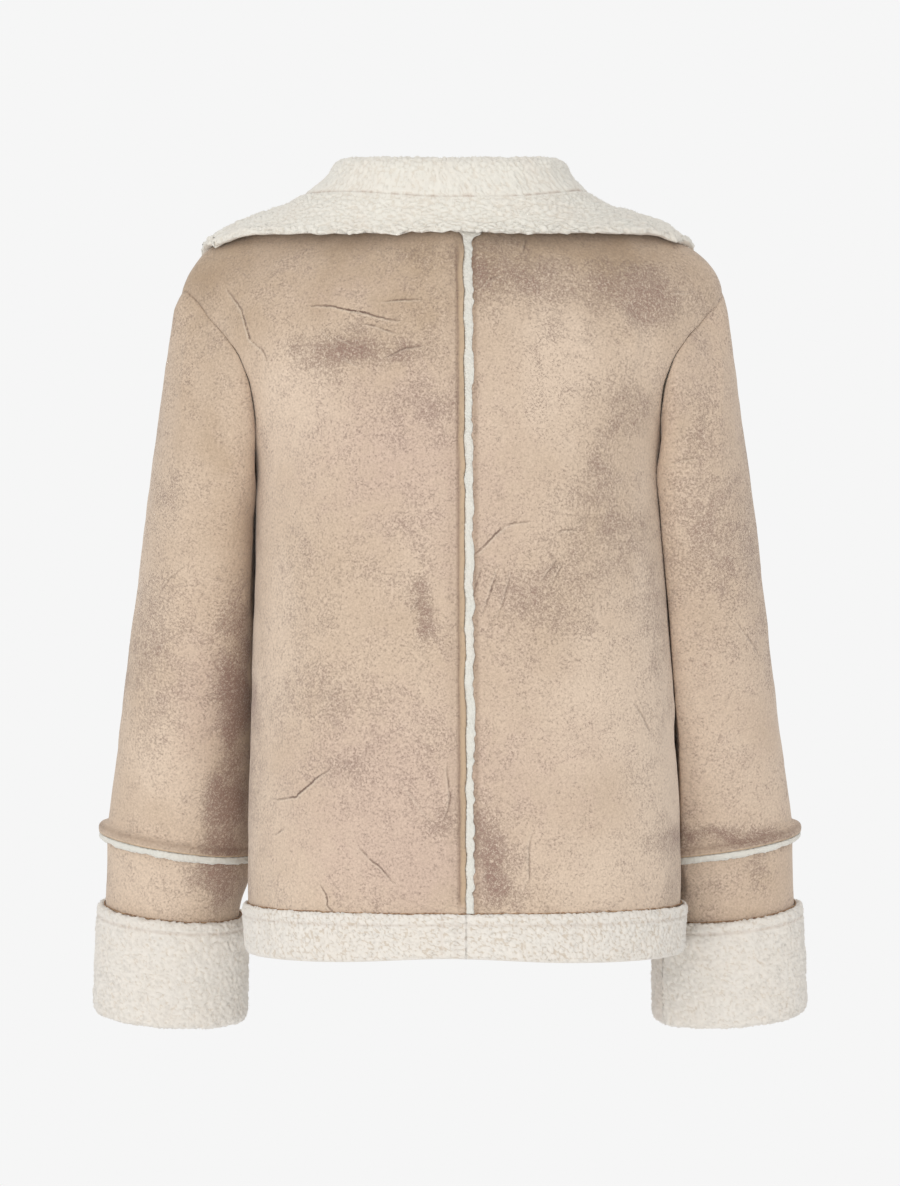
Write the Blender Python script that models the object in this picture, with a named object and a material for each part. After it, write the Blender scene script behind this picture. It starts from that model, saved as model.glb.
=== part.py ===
"""Faux shearling bomber jacket, filled out as it is worn, with nobody in it.

Metres, +Z up. The jacket's front faces -Y and the wearer's left is +X. The origin is the
middle of the base of the neck. Every piece that is cut and sewn on is one closed wall: its
outside is a grid of points on a named surface, and its inside is that grid moved in by the
thickness of the bonded cloth, suede outside and curly pile inside.
"""

import math
from dataclasses import dataclass, field

import bpy
import numpy as np

# ---------------------------------------------------------------- driving dimensions
ARMPIT_Z = -0.217  # level of the armpits, below the base of the neck
BODY_DROP = 0.400  # armpit to the folded edge of the hem
SHOULDER_HALF = 0.228  # middle to the sleeve seam at the shoulder point
SHOULDER_TOP_Z = 0.049  # where the two shoulder lines would meet over the neck
SHOULDER_SLOPE = 0.32  # fall of the shoulder line for each metre outwards
SHOULDER_TIP_DROP = 0.034  # extra fall where the shoulder rounds into the sleeve head
SHOULDER_TIP_POWER = 17.6
BODY_POWER = 2.3  # 2 is an ellipse, and more is squarer
CROWN_POWER = 2.2  # how the depth closes towards the shoulder line
CROWN_ROUNDING = 1 / 1.7

NECK_HALF = 0.095  # middle to the neck seam at the shoulder
NECK_T = {"back": 0.80, "front": 0.40}  # the neckline's lowest height, armpit 0 to shoulder 1
NECK_ROUNDNESS = {"back": 2.0, "front": 1.6}  # 1 is a straight neckline and 2 a round one
CENTRE_BACK_X = (-0.013, -0.0106)  # the back seam at the hem and at the collar

PANEL_WALL = 0.005  # suede and the pile bonded behind it
COLLAR_WALL = 0.007
SEAM_GAP = 0.0003

LAP_LIFT = 0.0026  # the left back stands this proud where it laps over the right back
LAP_WIDTH = 0.009
LAP_START = (-0.893, 0.03)  # the lap rises here above the hem, over that much of t
LAP_END = (0.70, 0.06)  # and falls again here, under the collar
PILE_STRIP_T = (-0.888, 0.765)
PILE_STRIP_WIDTH = 0.0068
PILE_STRIP_HEIGHT = 0.0022

LIP_FLARE = 0.0075  # the raw edge of the sleeve stands out where it laps over the band
LIP_WALL = 0.0015
LIP_SHARE_AT_BODY = 0.3  # the flare is pressed down on the side towards the body
LIP_S = 0.982  # the flare starts here along the arm
SLEEVE_TURN = 0.5  # down to here the rings turn from the armhole's points to even ones
SLEEVE_HEAD = 0.34  # down to here the armhole's own shape fades out
ARM_REST = 0.002  # how softly the sleeve bends where it rests against the body

COLLAR_FOLD = 0.005  # half the space inside the fold of the collar
COLLAR_CLEAR = 0.012  # the suede side of the fall keeps this far in front of the fronts
COLLAR_HANG = {1: 0.023, -1: 0.031}  # how far the fall sags between fold and edge, on each side
COLLAR_HANG_PLACE = 0.08  # where along the fall it sags
COLLAR_TO_FRONT = (0.5, 0.1)  # the fall clears the fronts from here on, over that much of w
COLLAR_SEAM_SHARE = 0.37  # place of the collar's outer seam along its fall

# ---------------------------------------------------------------- grids
BELOW_ROWS = 12  # hem to armpit
ARMHOLE_ROWS = 12  # armpit to shoulder, the same front and back, so the sleeve fits both
ROWS_TO_NECK = {"back": 6, "front": 3}
PANEL_COLUMNS = 12
PANEL_BOTTOM_T = -0.984
ARM_ROWS = (1, 0.991, LIP_S, 0.94, 0.88, 0.81, 0.74, 0.67, 0.6, 0.53, 0.46, 0.39, 0.32, 0.25, 0.18,
            0.12, 0.07, 0.03, 0)
BAND_ROWS = (2, 1.85, 1.65, 1.4, 1.2, 1.1, 1.003)


def table(names, *rows):
    """Named columns from rows of numbers. The first column is the one the others follow."""
    return dict(zip(names.split(), np.array(rows, float).T))


# Level sections of the body. t is -1 at the hem, 0 at the armpit and 1 on the shoulder line.
# arm_angle is where the armhole cuts the section, 0 at the centre and 90 at the side.
BODY = table(
    "t      half_width centre_x back_depth front_depth arm_angle",
    (-1.00, 0.1820, -0.0125, 0.1390, 0.1330, 90),
    (-0.86, 0.1835, -0.0125, 0.1395, 0.1340, 90),
    (-0.68, 0.1825, -0.0120, 0.1400, 0.1350, 90),
    (-0.49, 0.1795, -0.0110, 0.1405, 0.1360, 90),
    (-0.30, 0.1760, -0.0093, 0.1410, 0.1365, 90),
    (0.00, 0.1725, -0.0075, 0.1410, 0.1360, 90),
    (0.16, 0.1765, -0.0069, 0.1410, 0.1360, 73),
    (0.35, 0.1890, -0.0060, 0.1410, 0.1360, 64),
    (0.47, 0.2025, -0.0055, 0.1410, 0.1360, 61),
    (0.57, 0.2095, -0.0049, 0.1410, 0.1360, 64.5),
    (0.73, 0.2185, -0.0039, 0.1410, 0.1360, 73.5),
    (0.85, 0.2273, -0.0029, 0.1410, 0.1360, 75),
    (0.95, 0.2359, -0.0014, 0.1410, 0.1360, 72.2),
    (1.00, 0.2467, 0.0000, 0.1410, 0.1360, 66),
)

# Rings of the arm. s is 0 at the armhole, 1 at the lapped seam and 2 at the folded cuff. outer
# is the line down the outside of the arm, inner the line next to the body, clear the room that
# the ring keeps from the body, and pitch how far its back hangs below its front.
ARM = table(
    "s     outer_x outer_z inner_x inner_z centre_y girth clear pitch",
    (0.00, 0.2280, -0.0570, 0.165, -0.217, 0.000, 0.485, 0.0000, 0),
    (0.03, 0.2345, -0.0720, 0.165, -0.218, -0.001, 0.475, 0.0006, 0),
    (0.10, 0.2385, -0.0950, 0.165, -0.222, -0.003, 0.455, 0.0010, 0),
    (0.20, 0.2435, -0.1300, 0.165, -0.232, -0.008, 0.430, 0.0010, 1),
    (0.35, 0.2530, -0.1950, 0.165, -0.260, -0.018, 0.405, 0.0010, 2),
    (0.50, 0.2632, -0.2650, 0.165, -0.305, -0.030, 0.392, 0.0010, 2.5),
    (0.65, 0.2725, -0.3350, 0.166, -0.362, -0.043, 0.380, 0.0010, 3),
    (0.80, 0.2823, -0.4100, 0.168, -0.428, -0.057, 0.368, 0.0010, 4),
    (0.90, 0.2895, -0.4620, 0.171, -0.478, -0.066, 0.361, 0.0020, 5),
    (1.00, 0.2975, -0.5190, 0.174, -0.539, -0.076, 0.354, 0.0045, 5.5),
    (1.20, 0.2985, -0.5510, 0.178, -0.566, -0.084, 0.346, 0.0130, 7),
    (1.40, 0.3000, -0.5830, 0.183, -0.594, -0.090, 0.338, 0.0135, 8.5),
    (2.00, 0.3040, -0.6730, 0.184, -0.681, -0.096, 0.342, 0.0135, 8),
    (2.10, 0.3045, -0.6880, 0.184, -0.696, -0.097, 0.343, 0.0135, 8),
)

# The collar from the centre back (w 0) over the shoulder (0.5) to its front end (1). fold is
# the line it turns down on and edge its free edge, both on the suede side.
COLLAR = table(
    "w     fold_x fold_y fold_z edge_x edge_y edge_z",
    (0.00, 0.000, 0.086, 0.0415, 0.000, 0.0985, -0.0150),
    (0.18, 0.044, 0.078, 0.0425, 0.075, 0.0840, -0.0145),
    (0.36, 0.077, 0.052, 0.0450, 0.150, 0.0470, -0.0120),
    (0.50, 0.089, 0.010, 0.0475, 0.195, 0.0120, -0.0112),
    (0.60, 0.090, -0.022, 0.0400, 0.207, -0.0180, -0.0290),
    (0.72, 0.079, -0.066, 0.0110, 0.190, -0.0620, -0.0700),
    (0.86, 0.048, -0.112, -0.0420, 0.130, -0.1080, -0.1280),
    (1.00, 0.006, -0.137, -0.1000, 0.076, -0.1330, -0.1720),
)

# Main folds of the cloth, as soft troughs from one end to the other, seen from the back.
FOLDS = table(
    "start_x start_z end_x  end_z  half_width depth",
    (-0.172, -0.042, -0.184, -0.134, 0.012, 0.0022),
    (0.194, -0.058, 0.158, -0.112, 0.012, 0.0016),
    (0.166, -0.478, 0.092, -0.452, 0.014, 0.0014),
    (0.070, -0.505, 0.044, -0.545, 0.014, 0.0012),
    (-0.060, -0.300, -0.020, -0.330, 0.016, 0.0010),
)

# The turned-up hem: places down the body's outside and how far each stands off it.
HEM_PROFILE = table(
    "t        off",
    (-0.8980, 0.0003),
    (-0.8960, 0.0026),
    (-0.9050, 0.0040),
    (-0.9300, 0.0045),
    (-0.9840, 0.0044),
    (-0.9960, 0.0028),
    (-1.0000, -0.0010),
    (-0.9960, -0.0044),
    (-0.9850, -0.0050),
    (-0.9850, 0.0003),
)

# The turned-up cuff, the same way, down the arm.
CUFF_PROFILE = table(
    "s       off",
    (1.4020, 0.0006),
    (1.3950, 0.0040),
    (1.4050, 0.0066),
    (1.4400, 0.0076),
    (1.7000, 0.0078),
    (1.9800, 0.0076),
    (2.0300, 0.0058),
    (2.0500, 0.0010),
    (2.0420, -0.0040),
    (2.0050, -0.0050),
    (2.0050, 0.0006),
    (1.8500, 0.0006),
    (1.6500, 0.0006),
)

# The pile that shows under the lapped edge of the sleeve, as places down the arm and shares of
# the edge's flare, all LAP_PILE_OFF further out.
LAP_PILE_OFF = 0.0003
LAP_PILE_PROFILE = table(
    "s     flare_share",
    (1.0030, 0.00),
    (1.0030, 0.72),
    (1.0150, 0.84),
    (1.0300, 0.70),
    (1.0480, 0.12),
    (1.0480, 0.00),
)

# The curly edge beside the back seam, as shares of its width and of its height.
PILE_STRIP_PROFILE = table(
    "across  height",
    (0.0004, 0.0),
    (0.0006, 0.8),
    (0.5000, 1.0),
    (0.9400, 0.7),
    (1.0000, 0.0),
)

# Each cuff is split on the side towards the body. The angles run from the outside of the arm,
# 90 at its back and 180 next to the body.
VENT_ANGLE = {1: 212, -1: 153}
VENT_HALF_ANGLE = 2.5

COLOURS = {  # sRGB, 0 to 1
    "suede": (0.81, 0.73, 0.65),
    "pile": (0.90, 0.88, 0.84),
}


# ---------------------------------------------------------------- small tools
def smooth(source, column, key):
    """A smooth curve through one column of a table, with no overshoot."""
    places, values = source[next(iter(source))], source[column]
    step = np.diff(places)
    slope = np.diff(values) / step
    before, after = slope[:-1], slope[1:]
    same_way = before * after > 0
    harmonic = 2 * before * after / np.where(same_way, before + after, 1)
    tangent = np.concatenate([slope[:1], np.where(same_way, harmonic, 0), slope[-1:]])
    at = np.clip(np.searchsorted(places, key, side="right") - 1, 0, len(step) - 1)
    u = (key - places[at]) / step[at]
    return (
        values[at] * (1 + 2 * u) * (1 - u) ** 2
        + values[at + 1] * u**2 * (3 - 2 * u)
        + step[at] * u * (1 - u) * (tangent[at] * (1 - u) - tangent[at + 1] * u)
    )


def ease(value):
    """0 below 0, 1 above 1 and a soft step between."""
    value = np.clip(value, 0, 1)
    return value * value * (3 - 2 * value)


def power(value, exponent):
    return np.sign(value) * np.abs(value) ** exponent


def unit(vectors):
    length = np.linalg.norm(vectors, axis=-1, keepdims=True)
    return vectors / np.maximum(length, 1e-12)


def stack(x, y, z):
    return np.stack(np.broadcast_arrays(x, y, z), axis=-1)


def linear(colour):
    """Linear values of an sRGB colour."""
    return tuple(c / 12.92 if c <= 0.04045 else ((c + 0.055) / 1.055) ** 2.4 for c in colour)


# ---------------------------------------------------------------- the body's surface
def shoulder_z(x):
    tip = SHOULDER_TIP_DROP * (np.abs(x) / SHOULDER_HALF) ** SHOULDER_TIP_POWER
    return SHOULDER_TOP_Z - SHOULDER_SLOPE * np.abs(x) - tip


def crown(t):
    """Share of the full depth that is left at height t."""
    return (1 - np.clip(t, 0, 1) ** CROWN_POWER) ** CROWN_ROUNDING


def body_surface(angle, t):
    """Outside of the body. angle is 0 at the back, a quarter turn at +X and half at the front."""
    t = np.asarray(t, float)
    depth = np.where(np.cos(angle) > 0, smooth(BODY, "back_depth", t), smooth(BODY, "front_depth", t))
    x = smooth(BODY, "centre_x", t) + smooth(BODY, "half_width", t) * power(np.sin(angle), 2 / BODY_POWER)
    y = depth * crown(t) * power(np.cos(angle), 2 / BODY_POWER)
    rise = np.where(t > 0, shoulder_z(x) - ARMPIT_Z, BODY_DROP)
    return stack(x, y, ARMPIT_Z + t * rise)


def angle_at(x, t):
    """Angle, measured from the centre, at which the section at t reaches x."""
    share = (x - smooth(BODY, "centre_x", t)) / smooth(BODY, "half_width", t)
    return np.arcsin(np.clip(power(share, BODY_POWER / 2), -1, 1))


def arm_angle(t):
    return np.radians(smooth(BODY, "arm_angle", t))


def centre_x(face, t):
    """Where the centre seam runs: a little to the right at the back, in the middle in front."""
    if face == "front":
        return smooth(BODY, "centre_x", t)
    low, high = CENTRE_BACK_X
    return low + (high - low) * np.clip((t + 1) / (1 + NECK_T["back"]), 0, 1)


def neck_x(face, side, t):
    """Start of a panel's row: the centre seam, or the neckline above it."""
    start, roundness = NECK_T[face], NECK_ROUNDNESS[face]
    share = np.clip((t - start) / (1 - start), 0, 1)
    opening = (1 - (1 - share) ** roundness) ** (1 / roundness)
    centre = centre_x(face, np.minimum(t, start))
    return centre + (side * NECK_HALF - centre) * opening


def row_heights(face, per_row=1):
    """Heights of a panel's rows from armpit to shoulder, closer where the neckline turns."""
    start, to_neck = NECK_T[face], ROWS_TO_NECK[face]
    row = np.arange(ARMHOLE_ROWS * per_row + 1) / per_row
    turn = (1 - np.cos(math.pi * (row - to_neck) / (ARMHOLE_ROWS - to_neck))) / 2
    return np.where(row < to_neck, start * row / to_neck, start + (1 - start) * turn)


def panel_rows(face, per_row=1):
    below = np.linspace(PANEL_BOTTOM_T, 0, BELOW_ROWS * per_row + 1)[:-1]
    return np.concatenate([below, row_heights(face, per_row)])


def panel_grid(face, side, per_row=1):
    t = panel_rows(face, per_row)[:, None]
    centre, end = angle_at(neck_x(face, side, t), t), side * arm_angle(t)
    share = np.linspace(0, 1, PANEL_COLUMNS * per_row + 1)[None]
    if side < 0:
        centre, end = end, centre
    angle = centre + (end - centre) * share
    if face == "front":
        angle = (math.pi - angle)[:, ::-1]
    return body_surface(angle, t)


def body_reach(side, y, z):
    """How far the body reaches out at a given depth and height, below the armpit."""
    t = np.clip((z - ARMPIT_Z) / BODY_DROP, -1, 0)
    depth = np.where(y > 0, smooth(BODY, "back_depth", t), smooth(BODY, "front_depth", t))
    share = np.clip(1 - np.abs(y / depth) ** BODY_POWER, 0, 1) ** (1 / BODY_POWER)
    return side * smooth(BODY, "centre_x", t) + smooth(BODY, "half_width", t) * share


def front_reach(x, z):
    """How far forward the body reaches at a given width and height, above the armpit."""
    t = np.clip((z - ARMPIT_Z) / (shoulder_z(x) - ARMPIT_Z), 0, 1)
    share = np.abs(x - smooth(BODY, "centre_x", t)) / smooth(BODY, "half_width", t)
    depth = smooth(BODY, "front_depth", t) * crown(t)
    return depth * np.clip(1 - share**BODY_POWER, 0, 1) ** (1 / BODY_POWER)


# ---------------------------------------------------------------- the arm's surface
def armhole(side, per_row=1):
    """The armhole's loop, clockwise from above: down one face from the shoulder and up the other."""
    first, second = ("front", "back") if side > 0 else ("back", "front")
    down, up = row_heights(first, per_row)[::-1], row_heights(second, per_row)[1:-1]
    points = []
    for face, t in ((first, down), (second, up)):
        angle = side * arm_angle(t)
        points.append(body_surface(math.pi - angle if face == "front" else angle, t))
    return np.concatenate(points)


def arm_ring(side, angle, s):
    """Point of the arm's plain oval rings. angle is 0 outside and a quarter turn at the back."""
    column = {name: smooth(ARM, name, s) for name in ARM}
    half_x = (column["outer_x"] - column["inner_x"]) / 2
    half_z = (column["outer_z"] - column["inner_z"]) / 2
    radius = column["girth"] / (2 * math.pi)
    half_depth = np.sqrt(2 * radius**2 - half_x**2 - half_z**2)
    pitch = np.radians(column["pitch"])
    across, along = np.cos(angle), np.sin(angle) * half_depth
    x = (column["outer_x"] + column["inner_x"]) / 2 + across * half_x
    y = column["centre_y"] + along * np.cos(pitch)
    z = (column["outer_z"] + column["inner_z"]) / 2 + across * half_z - along * np.sin(pitch)
    limit = body_reach(side, y, z) + column["clear"]
    x = (x + limit + np.sqrt((x - limit) ** 2 + ARM_REST**2)) / 2
    return stack(side * x, y, z)


def arm_surface(side, s, per_row=1):
    """Rings of the arm from the armhole's own points, which fade into the plain rings."""
    loop = armhole(side, per_row)
    count = len(loop)
    even = -side * 2 * math.pi * np.arange(count) / count
    outer, inner = arm_ring(side, 0.0, 0.0), arm_ring(side, math.pi, 0.0)
    back = arm_ring(side, math.pi / 2, 0.0)
    centre = (outer + inner) / 2
    across, along = outer - centre, back - centre
    from_centre = loop - centre
    own = np.unwrap(np.arctan2(from_centre @ along / (along @ along), from_centre @ across / (across @ across)))
    s = np.asarray(s, float)[:, None]
    angle = own + (even - own) * ease(s / SLEEVE_TURN)
    grid = arm_ring(side, angle, s)
    at_armhole = arm_ring(side, own, np.zeros(count))
    return grid + ((loop - at_armhole)[None] * (1 - ease(s / SLEEVE_HEAD))[..., None])


# ---------------------------------------------------------------- the collar's surface
def neckline(side, per_row=1):
    """Points of the neck seam on one side, from the centre back to the centre front."""
    points = []
    for face in ("back", "front"):
        t = row_heights(face, per_row)[ROWS_TO_NECK[face] * per_row:]
        angle = angle_at(neck_x(face, side, t), t)
        points.append(body_surface(math.pi - angle if face == "front" else angle, t))
    w = np.concatenate([np.linspace(0, 0.5, len(points[0])), np.linspace(0.5, 1, len(points[1]))[1:]])
    return w, np.concatenate([points[0], points[1][-2::-1]])


def collar_half(side, shares, per_row=1):
    """Rows of the collar's suede side: up the stand, round the fold and down the fall.

    shares are 0 to 1 up the stand, 1 to 2 round the fold and 2 to 3 down the fall.
    """
    w, seam = neckline(side, per_row)
    to_front = side * centre_x("front", NECK_T["front"]) * ease((w - 0.5) / 0.5)
    lines = []
    for line in ("fold", "edge"):
        x, y, z = (smooth(COLLAR, line + axis, w) for axis in ("_x", "_y", "_z"))
        lines.append(stack(side * (x + to_front), y, z))
    fold, edge = lines
    up = unit(fold - seam)
    out = edge - fold
    out = unit(out - up * (out * up).sum(-1, keepdims=True))
    middle = fold - up * COLLAR_FOLD
    stand_top, fall_top = middle - out * COLLAR_FOLD, middle + out * COLLAR_FOLD
    hang = fall_top + (edge - fall_top) * COLLAR_HANG_PLACE - up * COLLAR_HANG[side]
    front_from, front_over = COLLAR_TO_FRONT
    rows = []
    for share in shares:
        if share <= 1:
            rows.append(seam + (stand_top - seam) * share)
        elif share <= 2:
            turn = math.pi * (share - 1)
            rows.append(middle + COLLAR_FOLD * (up * math.sin(turn) - out * math.cos(turn)))
        else:
            q = share - 2
            row = fall_top * (1 - q) ** 2 + hang * 2 * q * (1 - q) + edge * q**2
            short = front_reach(row[:, 0], row[:, 2]) + COLLAR_CLEAR + row[:, 1]
            row[:, 1] -= np.maximum(short, 0) * ease((w - front_from) / front_over)
            rows.append(row)
    return np.array(rows)


def collar_grid(shares, per_row=1):
    right, left = collar_half(-1, shares, per_row), collar_half(1, shares, per_row)
    return np.concatenate([right[:, ::-1], left[:, 1:]], axis=1)


# ---------------------------------------------------------------- folds and laps
def lip_flare(angle):
    """How far the sleeve's raw edge stands out, less on the side towards the body."""
    return LIP_FLARE * (LIP_SHARE_AT_BODY + (1 - LIP_SHARE_AT_BODY) * (1 + np.cos(angle)) / 2)


def fold_depth(points):
    """How far the main folds press the back of the cloth in."""
    depth = np.zeros(points.shape[:-1])
    flat = points[..., [0, 2]]
    for i in range(len(FOLDS["depth"])):
        start = np.array([FOLDS["start_x"][i], FOLDS["start_z"][i]])
        run = np.array([FOLDS["end_x"][i], FOLDS["end_z"][i]]) - start
        along = np.clip((flat - start) @ run / (run @ run), 0, 1)
        away = np.linalg.norm(flat - start - along[..., None] * run, axis=-1)
        taper = np.sin(math.pi * (0.1 + 0.8 * along))
        depth += FOLDS["depth"][i] * taper * np.exp(-((away / FOLDS["half_width"][i]) ** 2))
    return np.where(points[..., 1] > 0, depth, 0)


def lap_lift(points, t):
    """How far the left back stands proud next to the back seam."""
    away = np.linalg.norm(points - points[:, :1], axis=-1)
    (start, rise), (end, fall) = LAP_START, LAP_END
    ends = ease((t - start) / rise) * (1 - ease((t - end) / fall))
    return LAP_LIFT * (1 - ease(away / LAP_WIDTH)) * ends[:, None]


# ---------------------------------------------------------------- pieces
@dataclass
class Piece:
    """One wall of cloth. sewn names the edges of its grid that meet another piece."""

    name: str
    grid: np.ndarray
    sewn: tuple
    material: str
    wall: object = PANEL_WALL
    ring: bool = False
    relief: object = 0.0
    normals: np.ndarray = field(init=False)
    into: np.ndarray = field(init=False)
    on_seam: np.ndarray = field(init=False)

    def __post_init__(self):
        """Finds the outward normals and, on sewn edges, the way into the cloth."""
        down_rows = np.gradient(self.grid, axis=0)
        if self.ring:
            round_it = np.roll(self.grid, -1, 1) - np.roll(self.grid, 1, 1)
        else:
            round_it = np.gradient(self.grid, axis=1)
        self.normals = unit(np.cross(down_rows, round_it))
        self.into = np.zeros_like(self.grid)
        self.on_seam = np.zeros(self.grid.shape[:2], bool)
        edges = {
            "bottom": ((0, slice(None)), (1, slice(None))),
            "top": ((-1, slice(None)), (-2, slice(None))),
            "start": ((slice(None), 0), (slice(None), 1)),
            "end": ((slice(None), -1), (slice(None), -2)),
        }
        for name in self.sewn:
            edge, inside = edges[name]
            line = self.grid[edge]
            if self.ring:
                along = unit(np.roll(line, -1, 0) - np.roll(line, 1, 0))
            else:
                along = unit(np.gradient(line, axis=0))
            step = self.grid[inside] - line
            self.into[edge] += unit(step - along * (step * along).sum(-1, keepdims=True))
            self.on_seam[edge] = True

    def key(self, i, j):
        """The place of a grid point, the same for every piece that is sewn together there."""
        return tuple(np.round(self.grid[i, j % self.grid.shape[1]], 5))


def fit_together(pieces):
    """Outer and inner points of every piece, mitred where they are sewn and a gap apart."""
    meetings = {}
    for piece in pieces:
        for i, j in np.argwhere(piece.on_seam):
            meetings.setdefault(piece.key(i, j), []).append((piece, i, j))
    for piece in pieces:
        piece.inward = -piece.normals
        piece.shift = np.zeros_like(piece.grid)
    for members in meetings.values():
        total = sum(p.normals[i, j] + p.into[i, j] for p, i, j in members)
        mean = sum(p.into[i, j] - p.normals[i, j] for p, i, j in members) / len(members)
        for p, i, j in members:
            p.inward[i, j] = -unit(total)
            p.shift[i, j] = unit(p.into[i, j] - p.normals[i, j] - mean) * SEAM_GAP / 2
    for piece in pieces:
        relief = np.broadcast_to(piece.relief, piece.grid.shape[:2])[..., None]
        wall = np.broadcast_to(piece.wall, piece.grid.shape[:2])[..., None]
        piece.outer = piece.grid + piece.shift + piece.normals * relief
        piece.inner = piece.outer + piece.inward * wall


def new_object(name, points, faces, material):
    mesh = bpy.data.meshes.new(name)
    mesh.from_pydata(points.reshape(-1, 3).tolist(), [], faces)
    mesh.materials.append(material)
    mesh.shade_smooth()
    mesh.set_sharp_from_angle(angle=math.radians(50))
    obj = bpy.data.objects.new(name, mesh)
    jacket.objects.link(obj)
    return obj


def rim_faces(outer_a, outer_b, inner_b, inner_a, from_a):
    """Two triangles across a wall's edge, cut the same way on both pieces of a seam."""
    if from_a:
        return [(outer_a, outer_b, inner_b), (outer_a, inner_b, inner_a)]
    return [(outer_a, outer_b, inner_a), (outer_b, inner_b, inner_a)]


def wall_object(piece):
    """A closed wall between the outer and the inner grid: a loft between unlike sections."""
    rows, columns = piece.grid.shape[:2]
    points = np.stack([piece.outer, piece.inner])

    def at(layer, i, j):
        return (layer * rows + i) * columns + j % columns

    spans = columns if piece.ring else columns - 1
    faces = []
    for i in range(rows - 1):
        for j in range(spans):
            faces.append((at(0, i, j), at(0, i + 1, j), at(0, i + 1, j + 1), at(0, i, j + 1)))
            faces.append((at(1, i, j), at(1, i, j + 1), at(1, i + 1, j + 1), at(1, i + 1, j)))
    rim = []
    for j in range(spans):
        rim.append(((0, j), (0, j + 1)))
        rim.append(((rows - 1, j + 1), (rows - 1, j)))
    if not piece.ring:
        for i in range(rows - 1):
            rim.append(((i + 1, 0), (i, 0)))
            rim.append(((i, spans), (i + 1, spans)))
    for a, b in rim:
        faces += rim_faces(at(0, *a), at(0, *b), at(1, *b), at(1, *a), piece.key(*a) < piece.key(*b))
    return new_object(piece.name, points, faces, MATERIALS[piece.material])


def swept_object(name, loops, material, ring):
    """A solid through closed sections, one for each column."""
    columns, corners = loops.shape[:2]
    faces = []
    for i in range(columns if ring else columns - 1):
        here, there = i * corners, (i + 1) % columns * corners
        for k in range(corners):
            n = (k + 1) % corners
            faces.append((here + k, there + k, there + n, here + n))
    if not ring:
        faces.append(tuple(range(corners)))
        faces.append(tuple((columns - 1) * corners + k for k in reversed(range(corners))))
    return new_object(name, loops, faces, MATERIALS[material])


def off_normal(surface, angles, place):
    """The outward normal of a surface at each angle of one place, or at pairs of the two."""
    small = 1e-4
    across = surface(angles + small, place) - surface(angles - small, place)
    up = surface(angles, place + small) - surface(angles, place - small)
    up = up * np.sign(up[..., 2:])
    return unit(np.cross(up, across))


def off_surface(surface, places, angles, offs):
    """Sections made of places on a surface, each moved off it along the outward normal."""
    columns = []
    for place, off in zip(places, offs):
        outward = off_normal(surface, angles, place)
        columns.append(surface(angles, place) + outward * np.reshape(off, (-1, 1)))
    return np.stack(columns, axis=1)


# ---------------------------------------------------------------- the jacket's pieces
def body_panels():
    pieces = []
    for face in ("back", "front"):
        for side, word in ((1, "left"), (-1, "right")):
            grid = panel_grid(face, side)
            relief = -fold_depth(grid)
            if face == "back" and side > 0:
                relief = relief + lap_lift(grid, panel_rows(face))
            pieces.append(Piece(f"{face}_{word}", grid, ("start", "end", "top"), "suede", relief=relief))
    return pieces


def sleeves():
    pieces = []
    for side, word in ((1, "left"), (-1, "right")):
        s = np.array(ARM_ROWS)
        wall = np.where(s > LIP_S, LIP_WALL, PANEL_WALL)[:, None]
        grid = arm_surface(side, s)
        angles = 2 * math.pi * np.arange(grid.shape[1]) / grid.shape[1]
        flare = lip_flare(angles) * np.clip((s - LIP_S) / (1 - LIP_S), 0, 1)[:, None]
        sleeve = Piece(f"sleeve_{word}", grid, ("top",), "suede", wall=wall, ring=True, relief=flare)
        pieces.append(sleeve)
        band = arm_surface(side, BAND_ROWS)
        pieces.append(Piece(f"sleeve_band_{word}", band, (), "suede", ring=True))
    return pieces


def collar_pieces():
    seam = 2 + COLLAR_SEAM_SHARE
    stand = collar_grid((0, 0.5, 1, 1.33, 1.67, 2, seam))
    fall = collar_grid((seam, seam + 0.2, seam + 0.4, seam + 0.6, 3))
    return [
        Piece("collar_stand", stand, ("bottom", "top"), "pile", wall=COLLAR_WALL),
        Piece("collar_fall", fall, ("bottom",), "pile", wall=COLLAR_WALL),
    ]


def arm_place(side):
    """The arm's surface as one function of an angle and a place, for the rings below the elbow."""

    def surface(angle, s):
        turn = -side * angle
        return arm_ring(side, turn, np.full_like(turn, s))

    return surface


def cuffs():
    for side, word in ((1, "left"), (-1, "right")):
        start, end = VENT_ANGLE[side] + VENT_HALF_ANGLE, VENT_ANGLE[side] + 360 - VENT_HALF_ANGLE
        step = 180 / ARMHOLE_ROWS
        columns = np.arange(math.ceil(start / step), math.floor(end / step) + 1) * step
        angles = np.radians(np.concatenate([[start], columns, [end]]))
        loops = off_surface(arm_place(side), CUFF_PROFILE["s"], -side * angles[::-side], CUFF_PROFILE["off"])
        swept_object(f"cuff_{word}", loops, "pile", ring=False)


def lap_pile():
    """The curly edge that shows under the raw edge of each sleeve."""
    for side, word in ((1, "left"), (-1, "right")):
        angles = 2 * math.pi * np.arange(2 * ARMHOLE_ROWS) / (2 * ARMHOLE_ROWS)
        offs = [lip_flare(angles) * share + LAP_PILE_OFF for share in LAP_PILE_PROFILE["flare_share"]]
        loops = off_surface(arm_place(side), LAP_PILE_PROFILE["s"], angles, offs)
        swept_object(f"lap_pile_{word}", loops, "pile", ring=True)


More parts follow.
